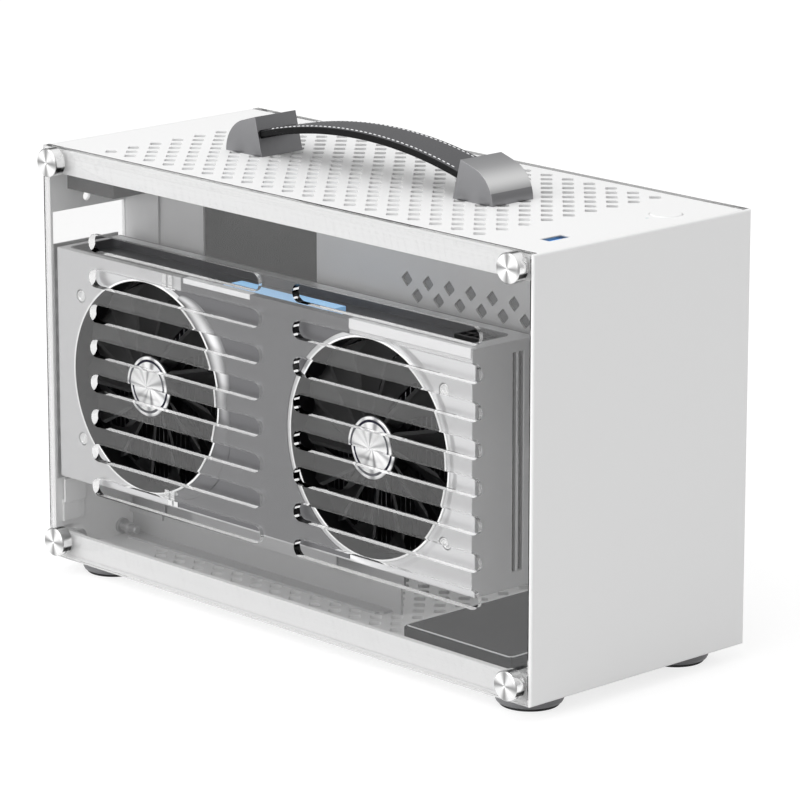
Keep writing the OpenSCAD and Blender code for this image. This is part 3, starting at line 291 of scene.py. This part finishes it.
# dark grey top of the strap with 0.9 mm pores, black painted edges, white stitches
leather, tree, shader = newMaterial("dark grey grained leather", "4C4C4E", {"Roughness": 0.6})
pores = objectPattern(tree, "TexVoronoi", {"Scale": 1100})
addRelief(tree, shader, pores.outputs["Distance"], 0.25, 0.0003)
blackEdge = newMaterial("black edge paint on leather", "0B0B0C",
                        {"Roughness": 0.5, "Specular IOR Level": 0.15})[0]
thread = newMaterial("white waxed thread", "E4E4E6", {"Roughness": 0.7})[0]

# plain mid grey feet, and the dark line under each
footPlastic = newMaterial("grey moulded ABS", "747476", {"Roughness": 0.45}, edge=0.0003)[0]
rubber = newMaterial("black rubber", "18181A", {"Roughness": 0.8})[0]
# pale dot beside the button
lightPipe = newMaterial("clear light pipe", "E8F4F6", {"Roughness": 0.2})[0]
# tongue of the USB port, the one strong colour, with a faint painted glow that lifts it out of the
# socket's shade
blueTongue = newMaterial("blue moulded tongue with painted glow", "45A4F5", {
    "Roughness": 0.35, "Emission Color": linearColour("1F86E0"), "Emission Strength": 0.25})[0]
# deep black
blackPlastic = newMaterial("black moulded plastic", "141415", {"Roughness": 0.42}, edge=0.0002)[0]

# card housing: soft bright grey with a fine blasted grain of 0.4 mm; round each fan opening a
# polished lip painted white as a highlight, the wall inside it painted black as shade, and round
# the front one a soft pressed step outside
opening = {"radius": 51.0, "lip": 1.1, "face": -64.0, "height": 104.3, "rear": 97.9, "front": -58.0,
           "wall": 0.08, "skin": 0.04, "stepFrom": 53.5, "stepTo": 57.0, "metal": 0.75}
housing, tree, shader = newMaterial("bead-blasted aluminium", "CFCFD0",
                                    {"Metallic": opening["metal"], "Roughness": 0.32}, edge=0.0010)
place = addNode(tree, "SeparateXYZ", [addNode(tree, "TexCoord").outputs["Object"]]).outputs
fromAxis = {}
for end in ("rear", "front"):
    # distance from the fan's axis in mm: sqrt((y - y0)^2 + (z - z0)^2)
    squares = []
    for direction, middle in (("Y", opening[end]), ("Z", opening["height"])):
        inMm = addNode(tree, "Math.MULTIPLY", [place[direction], 1 / mm])
        offset = addNode(tree, "Math.SUBTRACT", [inMm, middle])
        squares.append(addNode(tree, "Math.MULTIPLY", [offset, offset]))
    fromAxis[end] = addNode(tree, "Math.SQRT", [addNode(tree, "Math.ADD", squares)])
nearest = addNode(tree, "Math.MINIMUM", [fromAxis["rear"], fromAxis["front"]])
# painted shade on the wall inside each opening (near-black), and painted highlight on the lip that
# stands out from the face (white)
paintedHoleShade = addNode(tree, "Math.LESS_THAN", [nearest, opening["radius"] + opening["wall"]])
onFace = addNode(tree, "Math.LESS_THAN", [place["X"], (opening["face"] - opening["skin"]) * mm])
paintedLipHighlight = addNode(tree, "Math.MULTIPLY", [onFace, addNode(tree, "Math.SUBTRACT", [1.0, paintedHoleShade])])
lipHighlightColour = colourBetween(tree, shader, paintedLipHighlight, "CFCFD0", "FBFBFB")
colourBetween(tree, shader, paintedHoleShade, lipHighlightColour, "0C0C0D")
plain = addNode(tree, "Math.SUBTRACT", [1.0, addNode(tree, "Math.MAXIMUM", [paintedHoleShade, paintedLipHighlight])])
metal = addNode(tree, "Math.MULTIPLY", [plain, opening["metal"]])
tree.links.new(metal.outputs[0], shader.inputs["Metallic"])
pressed = addNode(tree, "MapRange", {"Value": fromAxis["front"], "From Min": opening["stepFrom"],
                                     "From Max": opening["stepTo"]}, interpolation_type="SMOOTHSTEP")
addRelief(tree, shader, pressed, 1.0, 0.0008)
grain = objectPattern(tree, "TexNoise", {"Scale": 2500, "Detail": 1})
addRelief(tree, shader, grain.outputs["Fac"], 0.03, 0.0001)
# painted highlight: white glints along the card's top edge
paintedGlint = newMaterial("bright satin aluminium as painted highlight", "F2F2F3", {"Metallic": 0.3, "Roughness": 0.25},
                         edge=0.0003)[0]

# pressed cover: a painted highlight streak along the middle of its upper half, plain dark grey at its
# edge
# bright = sin(pi v)^2 max(0, cos(4 (u - 0.22)))^1.5, with u along the cover and v across it
paintedStreak = {"plain": "6E6E70", "bright": "F4F4F5", "centre": 0.22, "spread": 4.0, "along": 1.5,
        "across": 2.0}
brushedCover, tree, shader = newMaterial("brushed cover with painted streak", paintedStreak["plain"],
                                         {"Metallic": 0.6, "Roughness": 0.3})
u, v = surfaceUv(tree)
across = addNode(tree, "Math.SINE", [addNode(tree, "Math.MULTIPLY", [v, math.pi])])
across = addNode(tree, "Math.POWER", [across, paintedStreak["across"]])
along = addNode(tree, "Math.SUBTRACT", [u, paintedStreak["centre"]])
along = addNode(tree, "Math.COSINE", [addNode(tree, "Math.MULTIPLY", [along, paintedStreak["spread"]])])
along = addNode(tree, "Math.POWER", [addNode(tree, "Math.MAXIMUM", [along, 0.0]), paintedStreak["along"]])
streakShare = addNode(tree, "Math.MULTIPLY", [across, along])
colourBetween(tree, shader, streakShare, paintedStreak["plain"], paintedStreak["bright"])
lines = objectPattern(tree, "TexNoise", {"Scale": 1, "Detail": 2}, (100, 2000, 60))
addRelief(tree, shader, lines.outputs["Fac"], 0.15, 0.0002)

# charcoal plates on the card
darkPlate = newMaterial("dark satin cover", "6A6A6C", {"Metallic": 0.5, "Roughness": 0.36},
                        edge=0.0002)[0]
# milky bar with a cool glow
diffuser = newMaterial("lit light-bar diffuser", "B4D4EE", {
    "Roughness": 0.4, "Emission Color": linearColour("6FB2EA"), "Emission Strength": 0.35})[0]
# near-black blades
fanPlastic = newMaterial("black fan plastic", "080809",
                         {"Roughness": 0.42, "Specular IOR Level": 0.25})[0]
# dim fins behind the fans
finAluminium = newMaterial("plain fin aluminium", "707072", {"Metallic": 1.0, "Roughness": 0.4})[0]
# dark satin boards
boardMask = newMaterial("black solder mask", "0E100F",
                        {"Roughness": 0.4, "Specular IOR Level": 0.25})[0]
# dark slab of the drive
driveMetal = newMaterial("dark anodised aluminium", "232427",
                         {"Roughness": 0.6, "Specular IOR Level": 0.15}, edge=0.0002)[0]
# warm glint in the mains inlet
pinBrass = newMaterial("gold-plated pins", "C9A85A", {"Metallic": 1.0, "Roughness": 0.3})[0]

slotMaterial = {
    "white_aluminium": paint, "grey_steel": innerSteel, "clear_acrylic": acrylic,
    "polished_screw": spun, "steel_trim": plainSteel, "handle_aluminium": brushed,
    "handle_leather": leather, "foot_plastic": footPlastic, "foot_rubber": rubber,
    "light_pipe": lightPipe, "blue_plastic": blueTongue, "black_plastic": blackPlastic,
    "card_housing": housing, "card_plate": darkPlate, "card_light": diffuser,
    "fan_plastic": fanPlastic, "fin_aluminium": finAluminium, "board_laminate": boardMask,
    "drive_metal": driveMetal, "pin_brass": pinBrass}
for part in frame["record"]["subparts"]:
    mesh = nodes[part["node"]].data
    mesh.materials.clear()
    mesh.materials.append(slotMaterial[part["material_slot"]])
print("materials set")


# carry strap: leather band with black painted edges and two rows of white stitches, in mm
strap = {"halfSpan": 65.25, "sag": 8.4, "hold": 8.8, "middle": 6.75, "width": 23.0,
         "thickness": 3.5, "corner": 0.9, "dome": 0.25, "topLayer": 0.3, "recess": 0.02,
         "samples": 121, "blackFrom": 0.75, "blackBelow": 0.2,
         "stitchPitch": 3.1, "stitchLength": 2.1, "stitchWidth": 0.62, "stitchInset": 2.3,
         "stitchDepth": 0.1}
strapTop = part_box("handle_strap")[1].z / mm
strapRadius = (strap["halfSpan"] ** 2 + strap["sag"] ** 2) / (2 * strap["sag"])


def strapPoint(x, along, depth):
    # arc of radius R about (middle, top - R), with a = along / R and d the depth:
    # y = middle + (R - d) sin a, z = top - R + (R - d) cos a
    angle = along / strapRadius
    reach = strapRadius - depth
    return np.stack([x + 0 * angle, strap["middle"] + reach * np.sin(angle),
                     strapTop - strapRadius + reach * np.cos(angle)], -1) * mm


def strapSection(arcPoints=6, flatPoints=11):
    # rounded rectangle, anticlockwise: corner arcs (cx + r cos t, cd - r sin t) and straight runs
    w, t, r = strap["width"] / 2, strap["thickness"], strap["corner"]
    turn = np.linspace(0, math.pi / 2, arcPoints)
    arcs = [(w - r, r, math.pi / 2 - turn), (w - r, t - r, -turn),
            (r - w, t - r, -turn - math.pi / 2), (r - w, r, math.pi - turn)]
    corners = [np.stack([cx + r * np.cos(a), cd - r * np.sin(a)], -1) for cx, cd, a in arcs]
    share = np.linspace(0, 1, flatPoints + 2)[1:-1, None]
    runs = [here[-1] + (there[0] - here[-1]) * share
            for here, there in zip(corners, corners[1:] + corners[:1])]
    return np.concatenate([part for pair in zip(corners, runs) for part in pair]).T


# band: its top falls away towards the edges by dome (x / half width)^2
sectionX, sectionD = strapSection()
halfLength = strapRadius * math.asin((strap["halfSpan"] + strap["hold"]) / strapRadius)
stations = np.linspace(-halfLength, halfLength, strap["samples"])
gridAlong, gridX = np.meshgrid(stations, sectionX, indexing="ij")
gridDepth = np.broadcast_to(sectionD, gridX.shape)
onTop = gridDepth < strap["topLayer"]
dome = onTop * strap["dome"] * (np.abs(gridX) / (strap["width"] / 2)) ** 2
bandPoints = strapPoint(gridX, gridAlong, gridDepth + strap["recess"] + dome)
leatherBand = gridMesh("strapLeather", bandPoints, wrapV=True)
bandFaces = leatherBand.data.polygons
centres, normals = np.zeros(len(bandFaces) * 3), np.zeros(len(bandFaces) * 3)
bandFaces.foreach_get("center", centres)
bandFaces.foreach_get("normal", normals)
edgeFrom = (strap["width"] / 2 - strap["corner"] * strap["blackFrom"]) * mm
black = (np.abs(centres[::3]) > edgeFrom) | (normals[2::3] < strap["blackBelow"])
bandFaces.foreach_set("material_index", black.astype(np.int32))
finishPiece(leatherBand, [leather, blackEdge], "case", "handle_leather", "handle_strap")

# stitches: ellipsoids sunk by two thirds into the leather, with half length l and half width w:
# s = -l cos c, x = w sin c cos t, d = depth - w sin c sin t
count = int(2 * (strap["halfSpan"] - 1) / strap["stitchPitch"])
seat = ((np.arange(count) - (count - 1) / 2) * strap["stitchPitch"])[:, None, None]
turn, cap = np.meshgrid(np.linspace(0, fullTurn, 9)[:-1], np.linspace(0, math.pi, 7), indexing="ij")
halfWidth = strap["stitchWidth"] / 2
stitchPoints = []
for side in (-1, 1):
    row = side * (strap["width"] / 2 - strap["stitchInset"])
    x = row + halfWidth * np.sin(cap) * np.cos(turn) + 0 * seat
    s = seat - np.cos(cap) * strap["stitchLength"] / 2
    d = strap["stitchDepth"] - halfWidth * np.sin(cap) * np.sin(turn) + 0 * seat
    stitchPoints.append(strapPoint(x, s, d).reshape(-1, 3))
oneStitch = gridFaces(*turn.shape, wrapU=True)
firstPoint = (np.arange(2 * count) * turn.size)[:, None, None]
stitches = faceMesh("strapStitches", np.concatenate(stitchPoints),
                    (oneStitch[None] + firstPoint).reshape(-1, 4))
finishPiece(stitches, [thread], "case", "handle_leather")
print("strap and", 2 * count, "stitches")


# drive: a painted highlight line where the edge of its top is cut back, a thin bright tube on a
# rounded rectangle
driveEdge = {"radius": 0.35, "corner": 2.4, "inset": 0.45, "drop": 0.09, "arcPoints": 8, "around": 8}


def edgeTube(low, high):
    # path: four corner arcs of radius c; P(t, a) = path(t) + r (outward(t) cos a + up sin a)
    c, inset, r, n = (driveEdge[key] for key in ("corner", "inset", "radius", "arcPoints"))
    arc = np.linspace(0, math.pi / 2, n)
    turn = np.concatenate([arc + quarter * math.pi / 2 for quarter in range(4)])
    outward = np.stack([np.cos(turn), np.sin(turn)], -1)
    half = (high[:2] - low[:2]) / 2 - inset - c
    corner = np.repeat([[1, 1], [-1, 1], [-1, -1], [1, -1]], n, axis=0) * half
    path = (high[:2] + low[:2]) / 2 + corner + outward * c
    around = np.linspace(0, fullTurn, driveEdge["around"] + 1)[:-1]
    flat = path[:, None] + outward[:, None] * r * np.cos(around)[None, :, None]
    up = np.broadcast_to(high[2] - driveEdge["drop"] + r * np.sin(around), flat.shape[:2])
    points = np.concatenate([flat, up[..., None]], -1) * mm
    return gridMesh("driveEdge", points, wrapU=True, wrapV=True)


finishPiece(edgeTube(*boxOf("solid_state_drive")), [paintedGlint], "case", "drive_metal")


# turned parts: thumb screws, hub caps and the screws in the card's face, in mm
def turned(name, profile, origin, axis, around=96):
    # surface of revolution: P = origin + axis h + r (e1 cos t + e2 sin t)
    # u = t / 2 pi, v = length along the profile as a share of the whole
    axis = np.array(axis, float)
    e1 = np.array([0.0, 1.0, 0.0])
    e2 = np.cross(axis, e1)
    t = np.linspace(0, fullTurn, around + 1)
    h, r = np.array(profile, float).T
    spoke = e1 * np.cos(t)[:, None, None] + e2 * np.sin(t)[:, None, None]
    points = np.array(origin)[None, None] + axis * h[None, :, None] + r[None, :, None] * spoke
    length = np.concatenate([[0], np.cumsum(np.hypot(np.diff(h), np.diff(r)))])
    uv = np.stack(np.meshgrid(t / fullTurn, length / length[-1], indexing="ij"), -1)
    return gridMesh(name, points * mm, uv=uv)


def rounded(profile, radius, steps=4):
    # each corner becomes the curve (1-t)^2 start + 2 t (1-t) corner + t^2 end, between the points
    # `radius` before and after it, or a little under half of a shorter side
    p = np.array(profile, float)
    out = [p[0]]
    for before, corner, after in zip(p[:-2], p[1:-1], p[2:]):
        inLength, outLength = np.linalg.norm(corner - before), np.linalg.norm(after - corner)
        cut = min(radius, inLength / 2.2, outLength / 2.2)
        start = corner + (before - corner) / inLength * cut
        end = corner + (after - corner) / outLength * cut
        t = np.linspace(0, 1, steps)[:, None]
        out.extend((1 - t) ** 2 * start + 2 * t * (1 - t) * corner + t ** 2 * end)
    out.append(p[-1])
    return np.array(out)


def axisOf(low, high):
    # a point on the axis along x through a node's box, and the radius about it
    return [0, (low[1] + high[1]) / 2, (low[2] + high[2]) / 2], (high[1] - low[1]) / 2


screwHead = {"length": 6.5, "clear": 0.03, "shank": 2.0, "tip": 0.4, "edge": 0.55, "foot": 0.3,
             "dimple": 0.35, "dimpleRim": 0.9, "dimpleFloor": 0.5, "rounding": 0.18}


def thumbScrew(inner, outer, radius):
    # profile (distance from the middle of the case, radius): shank, foot, rim, dimpled face
    s = screwHead
    base, floor = outer - s["length"] + s["clear"], outer - s["dimple"]
    return rounded([
        [inner, 0], [inner, s["shank"] - s["tip"]], [inner + s["tip"], s["shank"]],
        [base, s["shank"]], [base, radius - s["foot"]], [base + s["foot"], radius],
        [outer - s["edge"], radius], [outer, radius - s["edge"]],
        [outer, s["dimpleRim"]], [floor, s["dimpleFloor"]], [floor, 0]], s["rounding"])


for side, sign in (("left", -1), ("right", 1)):
    for level in ("top", "bottom"):
        for end in ("front", "rear"):
            name = f"thumb_screw_{side}_{level}_{end}"
            low, high = boxOf(name)
            centre, radius = axisOf(low, high)
            inner, outer = sorted((abs(low[0]), abs(high[0])))
            screw = turned("screw_" + name, thumbScrew(inner, outer, radius), centre, [sign, 0, 0])
            finishPiece(screw, [spun], name, "polished_screw", name)

hubCap = {"depth": 0.8, "shoulder": 0.3, "bevel": 0.4, "grooveOuter": 1.6, "grooveInner": 2.8,
          "slope": 0.3, "groove": 0.25, "crown": 0.15, "rounding": 0.15}
for end in ("rear", "front"):
    name = "card_fan_cap_" + end
    low, high = boxOf(name)
    centre, radius = axisOf(low, high)
    # profile: wall, bevelled edge, flat rim, groove, crowned middle
    face, c = -low[0], hubCap
    outerRim, innerRim = radius - c["grooveOuter"], radius - c["grooveInner"]
    profile = rounded([
        [face - c["depth"], 0], [face - c["depth"], radius], [face - c["shoulder"], radius],
        [face, radius - c["bevel"]], [face, outerRim], [face - c["groove"], outerRim - c["slope"]],
        [face - c["groove"], innerRim + c["slope"]], [face, innerRim], [face + c["crown"], 0]],
        c["rounding"])
    cap = turned("hub_" + name, profile, centre, [-1, 0, 0])
    finishPiece(cap, [spunHub], "fan_" + end, "card_housing", name)

cardScrew = {"head": 3.0, "thickness": 1.0, "bevel": 0.3, "rim": 0.9, "ring": 1.2, "ringDepth": 0.5,
             "pinFoot": 0.9, "pinTop": 0.7, "pinDepth": 0.2, "depth": 8.3, "shank": 1.5,
             "rounding": 0.1, "around": 48}
low, high = boxOf("card_screws")
face, s = -low[0], cardScrew
spots = [(y, z) for y in (low[1] + s["head"], high[1] - s["head"])
         for z in (low[2] + s["head"], high[2] - s["head"])]
# profile: shank, head with a bevelled rim, ring-shaped groove round a pin
profile = rounded([
    [face - s["depth"], 0], [face - s["depth"], s["shank"]], [face - s["thickness"], s["shank"]],
    [face - s["thickness"], s["head"]], [face - s["bevel"], s["head"]],
    [face, s["head"] - s["bevel"]], [face, s["head"] - s["rim"]],
    [face - s["ringDepth"], s["head"] - s["ring"]], [face - s["ringDepth"], s["pinFoot"]],
    [face - s["pinDepth"], s["pinTop"]], [face - s["pinDepth"], 0]], s["rounding"])
for i, (y, z) in enumerate(spots):
    screw = turned(f"cardScrew{i}", profile, [0, y, z], [-1, 0, 0], s["around"])
    finishPiece(screw, [polished], "case", "steel_trim", *(["card_screws"] if i == 0 else []))
print("turned parts")


# trims on the card's face: pressed cover by the rear fan, dark, bright and white strips, clips;
# the bright and white strips are painted highlights
def prism(name, outline, start, end):
    # closed outline (x, z) carried from y = start to y = end, both ends drawn in to the middle
    middle = outline.mean(0)
    rings = [(start, 0.0), (start, 1.0), (end, 1.0), (end, 0.0)]
    rows = [np.insert(middle + (outline - middle) * grow, 1, y, axis=1) for y, grow in rings]
    thing = gridMesh(name, np.stack(rows) * mm, wrapV=True)
    thing.data.polygons.foreach_set("use_smooth", np.zeros(len(thing.data.polygons), bool))
    return thing


cover = {"from": 116, "to": 244, "samples": 97, "across": 13, "gap": 0.15, "reach": 12.8,
         "fullness": 0.4, "dip": 5.2, "dipAt": 180, "dipWidth": 18, "crown": 0.4, "lift": 0.45,
         "sunk": 0.05}
shroudLow, shroudHigh = boxOf("card_shroud")
face, top = opening["face"], shroudHigh[2]


def pressedCover():
    # polar patch (y, z) = axis + r (cos a, sin a), a in degrees, r from the lip out to the edge:
    # edge = inner + reach s^0.4 - dip exp(-((a - 180) / 18)^2), with s = sin(pi (a - 116) / 128)
    # x = face - lift - crown sin(pi v) s^0.5 on the upper side, flat on the lower side
    angles = np.linspace(cover["from"], cover["to"], cover["samples"])
    v = np.linspace(0, 1, cover["across"])
    share = (angles - cover["from"]) / (cover["to"] - cover["from"])
    inner = opening["radius"] + opening["lip"] + cover["gap"]
    s = np.clip(np.sin(math.pi * share), 0, 1)
    dip = cover["dip"] * np.exp(-((angles - cover["dipAt"]) / cover["dipWidth"]) ** 2)
    outer = inner + cover["reach"] * s ** cover["fullness"] - dip
    r = inner + (outer[:, None] - inner) * v
    a = np.radians(angles)[:, None] + 0 * v
    x = face - cover["lift"] - cover["crown"] * np.sin(math.pi * v) * s[:, None] ** 0.5
    upper = np.stack([x, opening["rear"] + r * np.cos(a), opening["height"] + r * np.sin(a)], -1)
    lower = upper[:, ::-1].copy()
    lower[..., 0] = face + cover["sunk"]
    uv = np.stack(np.meshgrid(share, np.concatenate([v, v[::-1]]), indexing="ij"), -1)
    return gridMesh("cardCover", np.concatenate([upper, lower], 1) * mm, wrapV=True, uv=uv)


finishPiece(pressedCover(), [brushedCover], "case", "card_plate")

# strips and clips: outline across each as (x from the face, z from the top edge), span along y
darkFoot = 155.4 - top
strips = {
    "cardDarkStrip": {
        "look": darkPlate, "slot": "card_plate", "span": (-46.2, 70.0),
        "outline": [(-0.4, darkFoot), (-0.4, 0.15), (3.2, 0.15), (3.2, -0.1), (0.1, -0.1),
                    (0.1, darkFoot)]},
    "cardStep": {
        "look": paintedGlint, "slot": "card_housing", "span": (-125.6, -46.6),
        "outline": [(-0.7, -4.0), (-0.7, 0.2), (-0.3, 0.7), (2.6, 0.7), (3.0, 0.3), (3.0, -0.1),
                    (0.1, -0.1), (0.1, -4.6)]},
    "cardWhiteStrip": {
        "look": paintedGlint, "slot": "card_housing", "span": (21.0, 68.0),
        "outline": [(-0.6, -2.2), (-0.6, 0.3), (3.2, 0.5), (3.2, 0.1), (0.1, -0.1), (0.1, -2.2)]}}
# a clip is two upright bars with a groove between them; Top and Bottom: its lower and upper end
clip = {"proud": 0.85, "sunk": 0.1, "from": 76.0, "to": 83.0, "bar": 2.8,
        "Top": (-7.4, 0.2), "Bottom": (shroudLow[2] + 1.0 - top, shroudLow[2] + 9.0 - top)}
for level in ("Top", "Bottom"):
    foot, head = clip[level]
    for end, start in (("Rear", clip["to"] - clip["bar"]), ("Front", clip["from"])):
        strips["cardClip" + level + end] = {
            "look": polished, "slot": "card_housing", "span": (start, start + clip["bar"]),
            "outline": [(-clip["proud"], foot), (-clip["proud"], head), (clip["sunk"], head),
                        (clip["sunk"], foot)]}
for name, strip in strips.items():
    outline = np.array(strip["outline"]) + [face, top]
    finishPiece(prism(name, outline, *strip["span"]), [strip["look"]], "case", strip["slot"])
print("card trims")

# floor: white for the camera and for reflections, plain matt for the light that it returns
floorLook = {"half": 6.0, "back": 0.72, "shown": 0.30, "glow": 0.76}
square = np.array([[-1, -1, 0], [1, -1, 0], [1, 1, 0], [-1, 1, 0]]) * floorLook["half"]
ground = faceMesh("floor", square, np.array([[0, 1, 2, 3]]), closed=False)
floorMaterial = bpy.data.materials.new("pale studio floor")
floorMaterial.use_nodes = True
tree = floorMaterial.node_tree
tree.nodes.clear()
rays = addNode(tree, "LightPath").outputs
seen = addNode(tree, "Math.ADD", [rays["Is Camera Ray"], rays["Is Transmission Ray"]])
seen = addNode(tree, "Math.ADD", [seen, rays["Is Glossy Ray"]], use_clamp=True)
matt = addNode(tree, "BsdfDiffuse", {"Color": (floorLook["back"],) * 3 + (1,)})
shown = addNode(tree, "BsdfDiffuse", {"Color": (floorLook["shown"],) * 3 + (1,)})
glow = addNode(tree, "Emission", {"Color": (1, 1, 1, 1), "Strength": floorLook["glow"]})
lit = addNode(tree, "AddShader", [shown, glow])
addNode(tree, "OutputMaterial", {"Surface": addNode(tree, "MixShader", [seen, matt, lit])})
ground.data.materials.append(floorMaterial)

# studio light: L = all + left max(-x, 0) + right max(x, 0) + up max(z, 0), and white where the
# camera looks at it
studio = {"all": 0.06, "left": 1.20, "right": 0.42, "up": 0.78}
world = bpy.data.worlds.new("studio")
bpy.context.scene.world = world
world.use_nodes = True
tree = world.node_tree
tree.nodes.clear()
place = addNode(tree, "SeparateXYZ", [addNode(tree, "TexCoord").outputs["Generated"]]).outputs
level = studio["all"]
for direction, light in (("X", -studio["left"]), ("X", studio["right"]), ("Z", studio["up"])):
    share = addNode(tree, "Math.MULTIPLY", [place[direction], light])
    level = addNode(tree, "Math.ADD", [level, addNode(tree, "Math.MAXIMUM", [share, 0.0])])
rays = addNode(tree, "LightPath").outputs
seen = addNode(tree, "Math.MAXIMUM", [rays["Is Camera Ray"], rays["Is Transmission Ray"]])
strength = addNode(tree, "Mix", {"Factor": seen, "A": level, "B": 1.0})
background = addNode(tree, "Background", {"Color": (1, 1, 1, 1), "Strength": strength})
addNode(tree, "OutputWorld", {"Surface": background})

# lamps: place and aim in metres, size in metres, power in watts
softboxes = {
    "softbox above": {"place": (-0.5, 0.2, 1.6), "aim": (0, 0, 0.15), "size": (1.6, 1.6), "power": 6},
    "softbox left": {"place": (-1.5, 0.5, 0.6), "aim": (0, 0, 0.1), "size": (1.0, 1.2), "power": 6}}
for name, softbox in softboxes.items():
    lamp = bpy.data.lights.new(name, "AREA")
    lamp.shape = "RECTANGLE"
    lamp.size, lamp.size_y = softbox["size"]
    lamp.energy = softbox["power"]
    thing = bpy.data.objects.new(name, lamp)
    thing.location = softbox["place"]
    aim = Vector(softbox["aim"]) - Vector(softbox["place"])
    thing.rotation_euler = aim.to_track_quat("-Z", "Y").to_euler()
    bpy.context.scene.collection.objects.link(thing)

# the photo's camera, solved from the case's eight corners: angles in degrees, place in metres,
# focal length in pixels of the square picture, sensor in mm
shot = {"azimuth": -43.36, "elevation": 14.412, "place": (-1.444709, -1.539646, 0.647288),
        "focal": 4619.675, "pixels": 800, "sensor": 36, "farthest": 50}
a, e = math.radians(shot["azimuth"]), math.radians(shot["elevation"])
backward = Vector((math.sin(a) * math.cos(e), -math.cos(a) * math.cos(e), math.sin(e)))
sideward = Vector((math.cos(a), math.sin(a), 0))
turnedView = Matrix((sideward, backward.cross(sideward), backward)).transposed().to_4x4()
camera = bpy.data.objects.new("camera", bpy.data.cameras.new("camera"))
camera.matrix_world = Matrix.Translation(shot["place"]) @ turnedView
camera.data.sensor_width = shot["sensor"]
camera.data.lens = shot["sensor"] * shot["focal"] / shot["pixels"]
camera.data.clip_end = shot["farthest"]
bpy.context.scene.collection.objects.link(camera)
bpy.context.scene.camera = camera
bpy.context.scene.view_settings.view_transform = "Standard"

print("scene ready")
